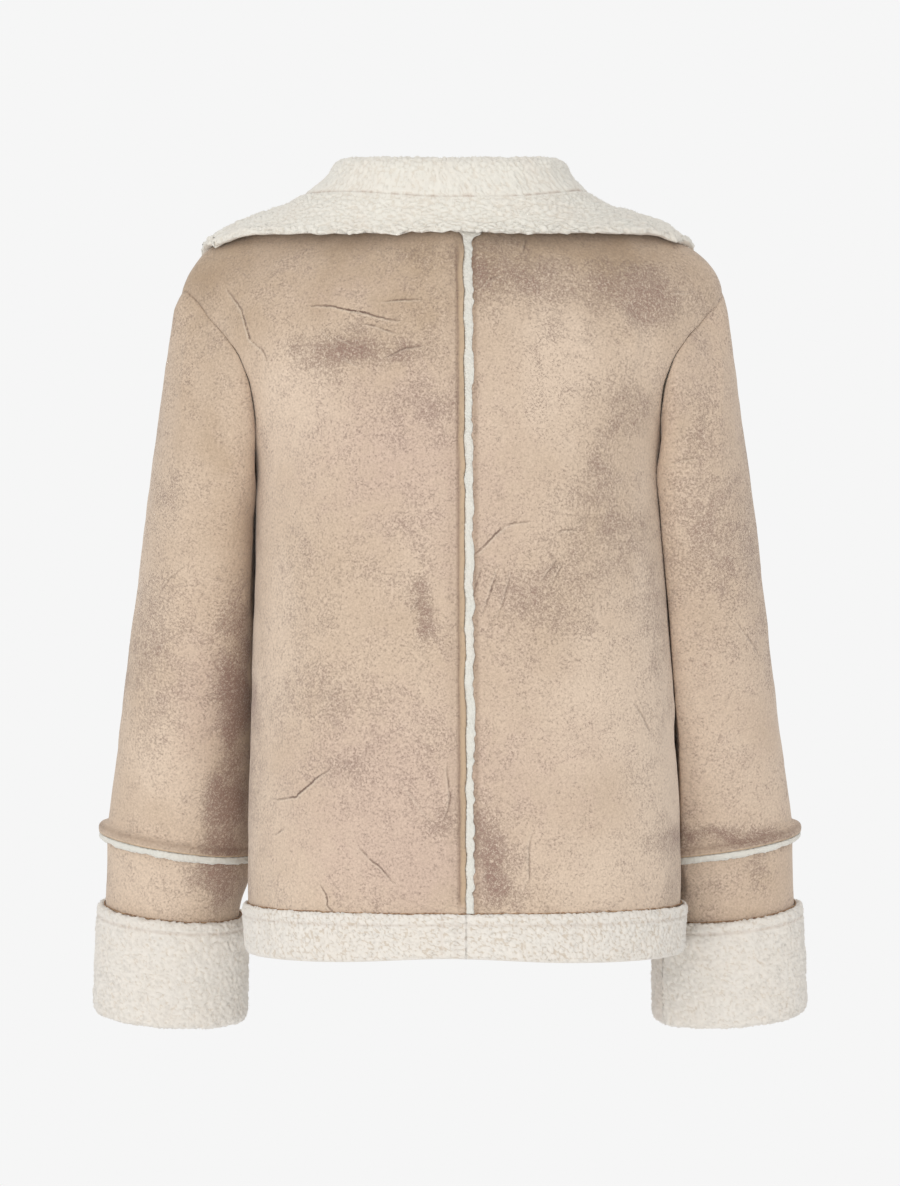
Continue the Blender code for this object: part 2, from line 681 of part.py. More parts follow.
def hem_pieces():
    """The hem, turned up so that the pile shows, in one piece for each panel."""
    gap = SEAM_GAP / 2 / BODY["half_width"][0]
    quarter = math.pi / 2
    back = float(angle_at(centre_x("back", -1.0), -1.0))
    spans = {
        "hem_back_left": (back, quarter),
        "hem_front_left": (quarter, 2 * quarter),
        "hem_front_right": (2 * quarter, 3 * quarter),
        "hem_back_right": (3 * quarter, 4 * quarter + back),
    }
    for name, (start, end) in spans.items():
        angles = np.linspace(start + gap, end - gap, PANEL_COLUMNS + 1)
        loops = off_surface(body_surface, HEM_PROFILE["t"], angles, HEM_PROFILE["off"])
        swept_object(name, loops, "pile", ring=False)


def back_seam_pile():
    """The curly edge of the left back that shows beside the seam, lying on the right back."""
    t = np.linspace(*PILE_STRIP_T, 2 * BELOW_ROWS + 4)
    loops = []
    for across, height in zip(PILE_STRIP_PROFILE["across"], PILE_STRIP_PROFILE["height"]):
        angle = angle_at(centre_x("back", t) - SEAM_GAP - PILE_STRIP_WIDTH * across, t)
        off = SEAM_GAP + PILE_STRIP_HEIGHT * height
        loops.append(body_surface(angle, t) + off_normal(body_surface, angle, t) * off)
    swept_object("back_seam_pile", np.stack(loops, axis=1)[:, ::-1], "pile", ring=False)


def new_material(name, colour):
    material = bpy.data.materials.new(name)
    material.use_nodes = True
    shader = material.node_tree.nodes["Principled BSDF"]
    shader.inputs["Base Color"].default_value = (*linear(colour), 1)
    shader.inputs["Roughness"].default_value = 0.95
    shader.inputs["Metallic"].default_value = 0.0
    material.diffuse_color = (*linear(colour), 1)
    return material


for old in list(bpy.data.objects):
    bpy.data.objects.remove(old)
bpy.context.scene.unit_settings.system = "METRIC"
jacket = bpy.data.collections.new("shearling_jacket")
bpy.context.scene.collection.children.link(jacket)
MATERIALS = {name: new_material(name, colour) for name, colour in COLOURS.items()}

sewn_pieces = body_panels() + sleeves() + collar_pieces()
fit_together(sewn_pieces)
for sewn_piece in sewn_pieces:
    wall_object(sewn_piece)
cuffs()
lap_pile()
hem_pieces()
back_seam_pile()
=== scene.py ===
# %% [markdown]
# # A faux shearling bomber jacket
#
# The real jacket is cut from one bonded cloth. Its outside is a polyester suede that has been
# cracked and rubbed to look old, and its inside is a curly pile, called sherpa. The collar, the
# cuffs and the hem are turned over, so that the pile shows there. It stands filled out, as it is
# worn, with nobody in it, and the camera looks at its back.
#
# Lengths are in metres. +Z is up, the front faces -Y, the wearer's left is +X, and the origin is
# the middle of the base of the neck.

# %% The frame
import math

import bpy
import numpy as np
from mathutils.kdtree import KDTree
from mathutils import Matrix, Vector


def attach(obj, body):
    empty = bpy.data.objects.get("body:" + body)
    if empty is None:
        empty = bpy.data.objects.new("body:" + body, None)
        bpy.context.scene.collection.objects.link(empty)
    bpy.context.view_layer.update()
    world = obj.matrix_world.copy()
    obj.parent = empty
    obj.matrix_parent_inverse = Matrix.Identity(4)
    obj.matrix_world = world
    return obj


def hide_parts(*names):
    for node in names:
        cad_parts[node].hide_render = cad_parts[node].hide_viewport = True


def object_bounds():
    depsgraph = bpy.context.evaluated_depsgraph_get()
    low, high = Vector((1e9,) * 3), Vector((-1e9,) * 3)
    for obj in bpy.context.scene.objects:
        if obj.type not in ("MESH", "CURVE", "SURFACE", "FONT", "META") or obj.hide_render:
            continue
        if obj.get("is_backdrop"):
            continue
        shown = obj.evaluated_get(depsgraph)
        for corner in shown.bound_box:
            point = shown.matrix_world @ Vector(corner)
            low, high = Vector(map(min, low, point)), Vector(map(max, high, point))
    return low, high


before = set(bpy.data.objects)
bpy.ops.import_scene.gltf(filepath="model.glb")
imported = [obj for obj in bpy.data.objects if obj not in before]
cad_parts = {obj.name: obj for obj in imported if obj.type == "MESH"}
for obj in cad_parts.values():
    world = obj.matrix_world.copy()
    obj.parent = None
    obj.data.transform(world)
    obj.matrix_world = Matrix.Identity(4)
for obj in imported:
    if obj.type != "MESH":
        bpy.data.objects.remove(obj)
cad_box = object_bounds()
print("CAD nodes:", sorted(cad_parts))

# %% [markdown]
# ## Named columns and smooth curves
#
# Each form is a short table of sizes, taken at a few places and joined by a smooth curve. This
# monotone curve never swings past a row, so the cloth gets no waves that nobody put there.


# %% Tables and curves
def table(names, *rows):
    """Columns by name. The first one is the key at which the others are read."""
    return dict(zip(names.split(), np.array(rows, float).T))


def smooth(source, column, key):
    """A column's value at key, on a curve through the rows that never swings past them."""
    places, values = source[next(iter(source))], source[column]
    step = np.diff(places)
    slope = np.diff(values) / step
    before, after = slope[:-1], slope[1:]
    same_way = before * after > 0
    harmonic = 2 * before * after / np.where(same_way, before + after, 1)
    tangent = np.concatenate([slope[:1], np.where(same_way, harmonic, 0), slope[-1:]])
    at = np.clip(np.searchsorted(places, key, side="right") - 1, 0, len(step) - 1)
    u = (key - places[at]) / step[at]
    return (
        values[at] * (1 + 2 * u) * (1 - u) ** 2
        + values[at + 1] * u**2 * (3 - 2 * u)
        + step[at] * u * (1 - u) * (tangent[at] * (1 - u) - tangent[at + 1] * u)
    )


def ease(value):
    """0 to 1 with a soft start and a soft end."""
    value = np.clip(value, 0, 1)
    return value * value * (3 - 2 * value)


def power(value, exponent):
    """A power that keeps the sign."""
    return np.sign(value) * np.abs(value) ** exponent


def unit(vectors):
    """The same directions, one metre long."""
    return vectors / np.maximum(np.linalg.norm(vectors, axis=-1, keepdims=True), 1e-12)


def stack(x, y, z):
    """Points from their three coordinates."""
    return np.stack(np.broadcast_arrays(x, y, z), axis=-1)


def bump(distance, width):
    """1 on a line and 0 far from it, about 2 widths across."""
    return np.exp(-((distance / width) ** 2))


SAMPLE = table("place value", (0, 0), (1, 2), (2, 3))
print("half way up the sample's first step:", round(float(smooth(SAMPLE, "value", 0.5)), 3))

# %% [markdown]
# ## The body
#
# The four body panels lie on one surface. Its level sections are superellipses, which stand for a
# rib cage better than plain ellipses, and they close up to the slope of the shoulders. The sizes
# are those of the CAD solids, read at many more places, so that folds can be pressed in.

# %% Body sizes
ARMPIT_Z = -0.217
BODY_DROP = 0.400  # from the armpit down to the hem
SHOULDER_HALF = 0.228
SHOULDER_TOP_Z = 0.049
SHOULDER_SLOPE = 0.32
SHOULDER_TIP_DROP = 0.034  # how far the shoulder line turns down at its tip
SHOULDER_TIP_POWER = 17.6  # and how suddenly
BODY_POWER = 2.3  # 2 is an ellipse, and more is squarer
CROWN_POWER = 2.2
CROWN_ROUNDING = 1 / 1.7
NECK_HALF = 0.095
NECK_T = {"back": 0.80, "front": 0.40}  # the neckline's height on the centre line
NECK_ROUNDNESS = {"back": 2.0, "front": 1.6}
ROWS_TO_NECK = {"back": 6, "front": 3}
CENTRE_BACK_X = (-0.013, -0.0106)  # the centre back seam, at the hem and at the neck
ARMHOLE_ROWS = 12
BELOW_ROWS = 12
PANEL_BOTTOM_T = -0.984
WALL = 0.005  # the cloth with its pile
COLLAR_WALL = 0.007

BODY = table(
    "t      half_width centre_x back_depth front_depth arm_angle",
    (-1.00, 0.1820, -0.0125, 0.1390, 0.1330, 90),
    (-0.86, 0.1835, -0.0125, 0.1395, 0.1340, 90),
    (-0.68, 0.1825, -0.0120, 0.1400, 0.1350, 90),
    (-0.49, 0.1795, -0.0110, 0.1405, 0.1360, 90),
    (-0.30, 0.1760, -0.0093, 0.1410, 0.1365, 90),
    (0.00, 0.1725, -0.0075, 0.1410, 0.1360, 90),
    (0.16, 0.1765, -0.0069, 0.1410, 0.1360, 73),
    (0.35, 0.1890, -0.0060, 0.1410, 0.1360, 64),
    (0.47, 0.2025, -0.0055, 0.1410, 0.1360, 61),
    (0.57, 0.2095, -0.0049, 0.1410, 0.1360, 64.5),
    (0.73, 0.2185, -0.0039, 0.1410, 0.1360, 73.5),
    (0.85, 0.2273, -0.0029, 0.1410, 0.1360, 75),
    (0.95, 0.2359, -0.0014, 0.1410, 0.1360, 72.2),
    (1.00, 0.2467, 0.0000, 0.1410, 0.1360, 66),
)
print("body sizes at", len(BODY["t"]), "heights, half width up to", BODY["half_width"].max(), "m")

# %% [markdown]
# ## A point of the body
#
# A point is found from an angle round the body and from t, its height. A row of points at one t
# is level at the waist, and follows the slope of the shoulder at the top by itself.


# %% The body's surface
def shoulder_z(x):
    """The height of the shoulder line."""
    tip = SHOULDER_TIP_DROP * (np.abs(x) / SHOULDER_HALF) ** SHOULDER_TIP_POWER
    return SHOULDER_TOP_Z - SHOULDER_SLOPE * np.abs(x) - tip


def crown(t):
    """How the depth closes up from the armpit to the shoulder line, 1 to 0."""
    return (1 - np.clip(t, 0, 1) ** CROWN_POWER) ** CROWN_ROUNDING


def body_surface(angle, t):
    """A point of the body. t is -1 at the hem, 0 at the armpit and 1 on the shoulder line."""
    t = np.asarray(t, float)
    back, front = smooth(BODY, "back_depth", t), smooth(BODY, "front_depth", t)
    depth = np.where(np.cos(angle) > 0, back, front)
    reach = smooth(BODY, "half_width", t) * power(np.sin(angle), 2 / BODY_POWER)
    x = smooth(BODY, "centre_x", t) + reach
    y = depth * crown(t) * power(np.cos(angle), 2 / BODY_POWER)
    rise = np.where(t > 0, shoulder_z(x) - ARMPIT_Z, BODY_DROP)
    return stack(x, y, ARMPIT_Z + t * rise)


def angle_at(x, t):
    """The angle of the back's point at x."""
    share = (x - smooth(BODY, "centre_x", t)) / smooth(BODY, "half_width", t)
    return np.arcsin(np.clip(power(share, BODY_POWER / 2), -1, 1))


def arm_angle(t):
    """The angle of the armhole, or of the side seam below it."""
    return np.radians(smooth(BODY, "arm_angle", t))


print("body at the armpit:", np.round(body_surface(np.radians([0.0, 90.0, 180.0]), 0.0), 3).tolist())

# %% [markdown]
# ## Panels
#
# A panel is a grid of points on that surface. Its rows run from the centre seam, or higher up from
# the neckline, out to the side seam or the armhole. They are closer together at the seams.


# %% Panel grids
def centre_x(face, t):
    """Where the centre seam runs."""
    if face == "front":
        return smooth(BODY, "centre_x", t)
    low, high = CENTRE_BACK_X
    return low + (high - low) * np.clip((t + 1) / (1 + NECK_T["back"]), 0, 1)


def neck_x(face, side, t):
    """Where a panel's row starts: at the centre seam, or at the neckline above it."""
    start, roundness = NECK_T[face], NECK_ROUNDNESS[face]
    share = np.clip((t - start) / (1 - start), 0, 1)
    opening = (1 - (1 - share) ** roundness) ** (1 / roundness)
    centre = centre_x(face, np.minimum(t, start))
    return centre + (side * NECK_HALF - centre) * opening


def row_heights(face, per_row):
    """The rows from the armpit up, with one row just where the neckline starts."""
    start, to_neck = NECK_T[face], ROWS_TO_NECK[face]
    row = np.arange(ARMHOLE_ROWS * per_row + 1) / per_row
    turn = (1 - np.cos(math.pi * (row - to_neck) / (ARMHOLE_ROWS - to_neck))) / 2
    return np.where(row < to_neck, start * row / to_neck, start + (1 - start) * turn)


def crowded(count, amount=0.5):
    """0 to 1 in steps that are closer at both ends, where the seams need them."""
    share = np.linspace(0, 1, count + 1)
    return share - amount * np.sin(2 * math.pi * share) / (2 * math.pi)


def panel_rows(face, per_row):
    """All rows of a panel, from the hem up."""
    below = np.linspace(PANEL_BOTTOM_T, 0, BELOW_ROWS * per_row + 1)[:-1]
    return np.concatenate([below, row_heights(face, per_row)])


def panel_grid(face, side, per_row, columns):
    """The points of one panel. side is 1 for the wearer's left and -1 for the right."""
    t = panel_rows(face, per_row)[:, None]
    centre, end = angle_at(neck_x(face, side, t), t), side * arm_angle(t)
    if side < 0:
        centre, end = end, centre
    angle = centre + (end - centre) * crowded(columns)[None]
    if face == "front":
        angle = (math.pi - angle)[:, ::-1]
    return body_surface(angle, t)


print("rows and columns of a coarse back panel:", panel_grid("back", 1, 2, 8).shape[:2])

# %% [markdown]
# ## Where the body stops
#
# The sleeves hang against the body and the collar lies on its front, so both have to keep off it.


# %% Where the body stops
def body_reach(side, y, z):
    """How far out the body's side is."""
    t = np.clip((z - ARMPIT_Z) / BODY_DROP, -1, 0)
    depth = np.where(y > 0, smooth(BODY, "back_depth", t), smooth(BODY, "front_depth", t))
    share = np.clip(1 - np.abs(y / depth) ** BODY_POWER, 0, 1) ** (1 / BODY_POWER)
    return side * smooth(BODY, "centre_x", t) + smooth(BODY, "half_width", t) * share


def front_reach(x, z):
    """How far forward the body's front is."""
    t = np.clip((z - ARMPIT_Z) / (shoulder_z(x) - ARMPIT_Z), 0, 1)
    share = np.abs(x - smooth(BODY, "centre_x", t)) / smooth(BODY, "half_width", t)
    depth = smooth(BODY, "front_depth", t) * crown(t)
    return depth * np.clip(1 - share**BODY_POWER, 0, 1) ** (1 / BODY_POWER)


print("the left side at the armpit is at x =", round(float(body_reach(1, 0.0, ARMPIT_Z)), 4))

# %% [markdown]
# ## The arms
#
# A sleeve is a tube. At its top it has to meet the armhole point for point, and lower down it is
# a plain oval that turns forward and keeps just clear of the body. The rings fade from the one
# to the other. s is 0 at the armhole, 1 at the sleeve's raw edge and 2 at the end of the cuff.

# %% Arm sizes
ARM = table(
    "s     outer_x outer_z inner_x inner_z centre_y girth clear pitch",
    (0.00, 0.2280, -0.0570, 0.165, -0.217, 0.000, 0.485, 0.0000, 0),
    (0.03, 0.2345, -0.0720, 0.165, -0.218, -0.001, 0.475, 0.0006, 0),
    (0.10, 0.2385, -0.0950, 0.165, -0.222, -0.003, 0.455, 0.0010, 0),
    (0.20, 0.2435, -0.1300, 0.165, -0.232, -0.008, 0.430, 0.0010, 1),
    (0.35, 0.2530, -0.1950, 0.165, -0.260, -0.018, 0.405, 0.0010, 2),
    (0.50, 0.2632, -0.2650, 0.165, -0.305, -0.030, 0.392, 0.0010, 2.5),
    (0.65, 0.2725, -0.3350, 0.166, -0.362, -0.043, 0.380, 0.0010, 3),
    (0.80, 0.2823, -0.4100, 0.168, -0.428, -0.057, 0.368, 0.0010, 4),
    (0.90, 0.2895, -0.4620, 0.171, -0.478, -0.066, 0.361, 0.0020, 5),
    (1.00, 0.2975, -0.5190, 0.174, -0.539, -0.076, 0.354, 0.0045, 5.5),
    (1.20, 0.2985, -0.5510, 0.178, -0.566, -0.084, 0.346, 0.0130, 7),
    (1.40, 0.3000, -0.5830, 0.183, -0.594, -0.090, 0.338, 0.0135, 8.5),
    (2.00, 0.3040, -0.6730, 0.184, -0.681, -0.096, 0.342, 0.0135, 8),
    (2.10, 0.3045, -0.6880, 0.184, -0.696, -0.097, 0.343, 0.0135, 8),
)
# how far the sleeve is pressed in and back where it hangs against the body
TUCK = table(
    "s     left    right",
    (0.00, 0.0000, 0.0000),
    (0.10, 0.0030, 0.0030),
    (0.22, 0.0085, 0.0075),
    (0.45, 0.0095, 0.0100),
    (0.65, 0.0060, 0.0105),
    (0.85, 0.0015, 0.0105),
    (1.00, 0.0000, 0.0080),
    (1.20, 0.0000, 0.0015),
    (1.35, 0.0000, 0.0000),
    (2.10, 0.0000, 0.0000),
)
TUCK_IN, TUCK_BACK = 0.6, 0.8
BAND_REACH = {1: 0.0035, -1: 0.0}  # how far the band below the raw edge stands in to the hem
BAND_REACH_S, BAND_REACH_WIDTH = 1.12, 0.12
LIP_FLARE = 0.0075  # how far the sleeve's raw edge stands out
LIP_SHARE_AT_BODY = 0.3
SLEEVE_TURN = 0.5  # the s at which the points are spaced evenly round the sleeve
SLEEVE_HEAD = 0.34  # the s at which the armhole's form has faded out
ARM_REST = 0.002  # how softly a sleeve gives way to the body
print("arm sizes at", len(ARM["s"]), "places, girth", ARM["girth"].max(), "to", ARM["girth"].min(), "m")

# %% [markdown]
# ## A point of the arm
#
# Each ring has the girth of its row, and gives way softly where it would run into the body. It is
# first pressed into the hollow there, or a black gap would show between the two.


# %% The arm's surface
def armhole(side, per_row):
    """The loop of the armhole, down the front or the back and up the other."""
    first, second = ("front", "back") if side > 0 else ("back", "front")
    down, up = row_heights(first, per_row)[::-1], row_heights(second, per_row)[1:-1]
    points = []
    for face, t in ((first, down), (second, up)):
        angle = side * arm_angle(t)
        points.append(body_surface(math.pi - angle if face == "front" else angle, t))
    return np.concatenate(points)


def arm_ring(side, angle, s):
    """A point of the arm. angle is 0 outside and a quarter turn at the back."""
    column = {name: smooth(ARM, name, s) for name in ARM}
    half_x = (column["outer_x"] - column["inner_x"]) / 2
    half_z = (column["outer_z"] - column["inner_z"]) / 2
    half_depth = np.sqrt(2 * (column["girth"] / (2 * math.pi)) ** 2 - half_x**2 - half_z**2)
    pitch = np.radians(column["pitch"])
    across, along = np.cos(angle), np.sin(angle) * half_depth
    x = (column["outer_x"] + column["inner_x"]) / 2 + across * half_x
    y = column["centre_y"] + along * np.cos(pitch)
    z = (column["outer_z"] + column["inner_z"]) / 2 + across * half_z - along * np.sin(pitch)
    tuck = smooth(TUCK, "left" if side > 0 else "right", s)
    tuck = tuck * np.clip((np.sin(angle) - across) / math.sqrt(2), 0, 1) ** 3
    x, y = x - TUCK_IN * tuck, y + TUCK_BACK * tuck
    limit = body_reach(side, y, z) + column["clear"]
    x = (x + limit + np.sqrt((x - limit) ** 2 + ARM_REST**2)) / 2
    band = bump(s - BAND_REACH_S, BAND_REACH_WIDTH)
    x = x - BAND_REACH[side] * band * np.clip(-across, 0, 1) ** 2
    return stack(side * x, y, z)


def arm_surface(side, s, per_row):
    """Rings of points that start in the armhole's own form and become even ovals."""
    loop = armhole(side, per_row)
    count = len(loop)
    even = -side * 2 * math.pi * np.arange(count) / count
    outer, inner = arm_ring(side, 0.0, 0.0), arm_ring(side, math.pi, 0.0)
    back = arm_ring(side, math.pi / 2, 0.0)
    centre = (outer + inner) / 2
    across, along = outer - centre, back - centre
    from_centre = loop - centre
    sine = from_centre @ along / (along @ along)
    cosine = from_centre @ across / (across @ across)
    own = np.unwrap(np.arctan2(sine, cosine))
    s = np.asarray(s, float)[:, None]
    grid = arm_ring(side, own + (even - own) * ease(s / SLEEVE_TURN), s)
    at_armhole = arm_ring(side, own, np.zeros(count))
    return grid + ((loop - at_armhole)[None] * (1 - ease(s / SLEEVE_HEAD))[..., None])


def lip_flare(angle):
    """The sleeve's raw edge stands out, but is pressed down on the side towards the body."""
    return LIP_FLARE * (LIP_SHARE_AT_BODY + (1 - LIP_SHARE_AT_BODY) * (1 + np.cos(angle)) / 2)


print("left cuff end:", np.round(arm_ring(1, np.radians([0.0, 180.0]), np.full(2, 2.0)), 3).tolist())

# %% [markdown]
# ## The collar
#
# The collar stands up from the neck seam, folds over and falls on the shoulders, with its pile
# outside. One surface does for both pieces: a row goes up the stand, round the fold and down the
# fall. In the table w is 0 at the centre back, 0.5 on the shoulder and 1 at the front end.

# %% Collar sizes
COLLAR = table(
    "w     fold_x fold_y fold_z edge_x edge_y edge_z",
    (0.00, 0.000, 0.086, 0.0415, 0.000, 0.0985, -0.0150),
    (0.18, 0.044, 0.078, 0.0425, 0.075, 0.0840, -0.0145),
    (0.36, 0.077, 0.052, 0.0450, 0.150, 0.0470, -0.0120),
    (0.50, 0.089, 0.010, 0.0475, 0.195, 0.0120, -0.0112),
    (0.60, 0.090, -0.022, 0.0400, 0.207, -0.0180, -0.0290),
    (0.72, 0.079, -0.066, 0.0110, 0.190, -0.0620, -0.0700),
    (0.86, 0.048, -0.112, -0.0420, 0.130, -0.1080, -0.1280),
    (1.00, 0.006, -0.137, -0.1000, 0.076, -0.1330, -0.1720),
)
COLLAR_FOLD = 0.005  # the radius of the fold
COLLAR_CLEAR = 0.012  # how far the fall keeps off the front
COLLAR_HANG = {1: 0.023, -1: 0.031}  # how far the fall sags below a straight line
COLLAR_HANG_PLACE = 0.08
COLLAR_HANG_APART = 0.25  # the w from which each side sags by its own amount
COLLAR_TO_FRONT = (0.5, 0.1)
COLLAR_SEAM = 2.37  # where the seam is: 0 to 1 is the stand, 1 to 2 the fold and 2 to 3 the fall
print("collar sizes at", len(COLLAR["w"]), "places, folded at up to z =", COLLAR["fold_z"].max())

# %% [markdown]
# ## A row of the collar
#
# Each row of the fall is a curve through the fold and the free edge. Its third control point
# hangs below the straight line between them, as cloth does under its own weight.


# %% The collar's surface
def neckline(side, per_row):
    """The neck seam of one side from the centre back to the centre front, with w for each point."""
    points = []
    for face in ("back", "front"):
        t = row_heights(face, per_row)[ROWS_TO_NECK[face] * per_row:]
        angle = angle_at(neck_x(face, side, t), t)
        points.append(body_surface(math.pi - angle if face == "front" else angle, t))
    w = np.concatenate([np.linspace(0, 0.5, len(points[0])), np.linspace(0.5, 1, len(points[1]))[1:]])
    return w, np.concatenate([points[0], points[1][-2::-1]])


def collar_half(side, shares, per_row):
    """shares are 0 to 1 up the stand, 1 to 2 round the fold and 2 to 3 down the fall."""
    w, seam = neckline(side, per_row)
    to_front = side * centre_x("front", NECK_T["front"]) * ease((w - 0.5) / 0.5)
    lines = []
    for line in ("fold", "edge"):
        x, y, z = (smooth(COLLAR, line + axis, w) for axis in ("_x", "_y", "_z"))
        lines.append(stack(side * (x + to_front), y, z))
    fold, edge = lines
    up = unit(fold - seam)
    out = edge - fold
    out = unit(out - up * (out * up).sum(-1, keepdims=True))
    middle = fold - up * COLLAR_FOLD
    stand_top, fall_top = middle - out * COLLAR_FOLD, middle + out * COLLAR_FOLD
    even = (COLLAR_HANG[1] + COLLAR_HANG[-1]) / 2
    sag = even + (COLLAR_HANG[side] - even) * ease(w / COLLAR_HANG_APART)
    hang = fall_top + (edge - fall_top) * COLLAR_HANG_PLACE - up * sag[:, None]
    front_from, front_over = COLLAR_TO_FRONT
    rows = []
    for share in shares:
        if share <= 1:
            rows.append(seam + (stand_top - seam) * share)
        elif share <= 2:
            turn = math.pi * (share - 1)
            rows.append(middle + COLLAR_FOLD * (up * math.sin(turn) - out * math.cos(turn)))
        else:
            q = share - 2
            row = fall_top * (1 - q) ** 2 + hang * 2 * q * (1 - q) + edge * q**2
            short = front_reach(row[:, 0], row[:, 2]) + COLLAR_CLEAR + row[:, 1]
            row[:, 1] -= np.maximum(short, 0) * ease((w - front_from) / front_over)
            rows.append(row)
    return np.array(rows)


def collar_grid(shares, per_row):
    """The whole collar, from its right front end round the back to its left one."""
    right, left = collar_half(-1, shares, per_row), collar_half(1, shares, per_row)
    return np.concatenate([right[:, ::-1], left[:, 1:]], axis=1)


print("rows and columns of a coarse collar:", collar_grid(np.linspace(0, 3, 7), 2).shape[:2])

# %% [markdown]
# ## Random numbers that stay the same
#
# Each cell of space gets its numbers from its own position, so they are the same on every run:
# the position is multiplied by large primes and its bits are mixed.

# %% Scattered numbers
CELL_PRIMES = (73856093, 19349663, 83492791)
SEED_PRIME = 2654435761
MIXERS = (0x45D9F3B, 0x2C1B3C6D)
KEYS = 0x100000000  # there are this many different keys


def scatter(cell, seed):
    """Three even random numbers from 0 to 1 for each cell, the same on every run."""
    parts = [cell[..., axis] * prime for axis, prime in enumerate(CELL_PRIMES)]
    key = ((parts[0] ^ parts[1] ^ parts[2]) + seed * SEED_PRIME) & (KEYS - 1)
    numbers = []
    for _ in range(3):
        key = (key ^ (key >> 16)) * MIXERS[0] & (KEYS - 1)
        key = (key ^ (key >> 15)) * MIXERS[1] & (KEYS - 1)
        key = key ^ (key >> 16)
        numbers.append(key / KEYS)
    return np.stack(numbers, axis=-1)


print("the numbers of one cell:", np.round(scatter(np.array([1, 2, 3]), 1), 3).tolist())

# %% [markdown]
# ## Curls
#
# Sherpa is a knitted pile, heated until its fibres roll into curls 3 to 5 mm across. A curl is a
# soft knob with a dark crease round it. Cellular noise gives just that: each point looks for the
# nearest of many scattered centres. The curls are real geometry, as they show in the outline, and
# an attribute tells the material where they are, so that it paints shade into the creases. Lumps are
# a plain soft noise for the rest.

# %% Curls and lumps
CREASE_SHARE = 0.34  # how wide the crease round a curl is, as a share of the curl


def curls(points, size, seed=1):
    """0 in the creases between curls and 1 on their tops. size is about one curl across."""
    place = points.reshape(-1, 3) / size
    base = np.floor(place).astype(np.int64)
    first = np.full(len(place), np.inf)
    second = np.full(len(place), np.inf)
    for step in np.ndindex(3, 3, 3):
        cell = base + np.array(step) - 1
        away = np.linalg.norm(cell + scatter(cell, seed) - place, axis=1)
        second = np.minimum(second, np.maximum(first, away))
        first = np.minimum(first, away)
    knob = ease((second - first) / CREASE_SHARE) * np.clip(1.2 - first * 0.5, 0, 1)
    return knob.reshape(points.shape[:-1])


def lumps(points, size, seed=7):
    """Soft noise from -1 to 1 with lumps of about that size."""
    place = points.reshape(-1, 3) / size
    base = np.floor(place).astype(np.int64)
    part = ease(place - base)
    total = np.zeros(len(place))
    for corner in np.ndindex(2, 2, 2):
        weight = np.prod(np.where(np.array(corner) > 0, part, 1 - part), axis=1)
        total += weight * scatter(base + np.array(corner), seed)[:, 0]
    return (total * 2 - 1).reshape(points.shape[:-1])


row = stack(np.linspace(0, 0.004, 5), 0.0, 0.0)
print("curls 1 mm apart along a line:", np.round(curls(row, 0.0045), 2).tolist())

# %% [markdown]
# ## Meshes
#
# Points and faces are arrays that go straight into the mesh, which is much quicker than adding
# faces one by one. Values that the materials read go in with them as attributes.


# %% Making a mesh
def new_mesh(name, points, faces, slots, values):
    """A smooth mesh. faces is a list of arrays, each with its own number of corners a face."""
    mesh = bpy.data.meshes.new(name)
    corners = np.concatenate([part.ravel() for part in faces])
    sizes = np.concatenate([np.full(len(part), part.shape[1]) for part in faces])
    starts = np.concatenate([[0], np.cumsum(sizes)[:-1]])
    mesh.vertices.add(len(points))
    mesh.vertices.foreach_set("co", points.astype(np.float32).ravel())
    mesh.loops.add(len(corners))
    mesh.loops.foreach_set("vertex_index", corners.astype(np.int32))
    mesh.polygons.add(len(sizes))
    mesh.polygons.foreach_set("loop_start", starts.astype(np.int32))
    mesh.polygons.foreach_set("material_index", np.asarray(slots).astype(np.int32))
    mesh.update(calc_edges=True)
    mesh.shade_smooth()
    for key, value in values.items():
        layer = mesh.attributes.new(key, "FLOAT", "POINT")
        layer.data.foreach_set("value", value.astype(np.float32).ravel())
    obj = bpy.data.objects.new(name, mesh)
    bpy.context.scene.collection.objects.link(obj)
    return obj


def flat_faces(*lists):
    """Faces of several lists, all in the first slot."""
    return np.zeros(sum(len(part) for part in lists))


def grid_quads(index, ring, flip=False):
    """The four corners of every cell of a grid of point numbers."""
    right = np.roll(index, -1, 1)
    if not ring:
        index, right = index[:, :-1], right[:, :-1]
    corners = [index[:-1], index[1:], right[1:], right[:-1]]
    return np.stack(corners[::-1] if flip else corners, axis=-1).reshape(-1, 4)


print("faces of a grid of 4 x 5 points:", len(grid_quads(np.arange(20).reshape(4, 5), False)))

# %% [markdown]
# ## Walls and solids
#
# A panel of cloth becomes one closed mesh: the layer that shows, a coarser one behind it, and a
# rim between the two that joins three short edges to each long one. A cuff or a hem is a solid
# instead, made of closed sections set one after another.

# %% Walls and solids
SKIP = 3  # the hidden layer takes one point in three each way


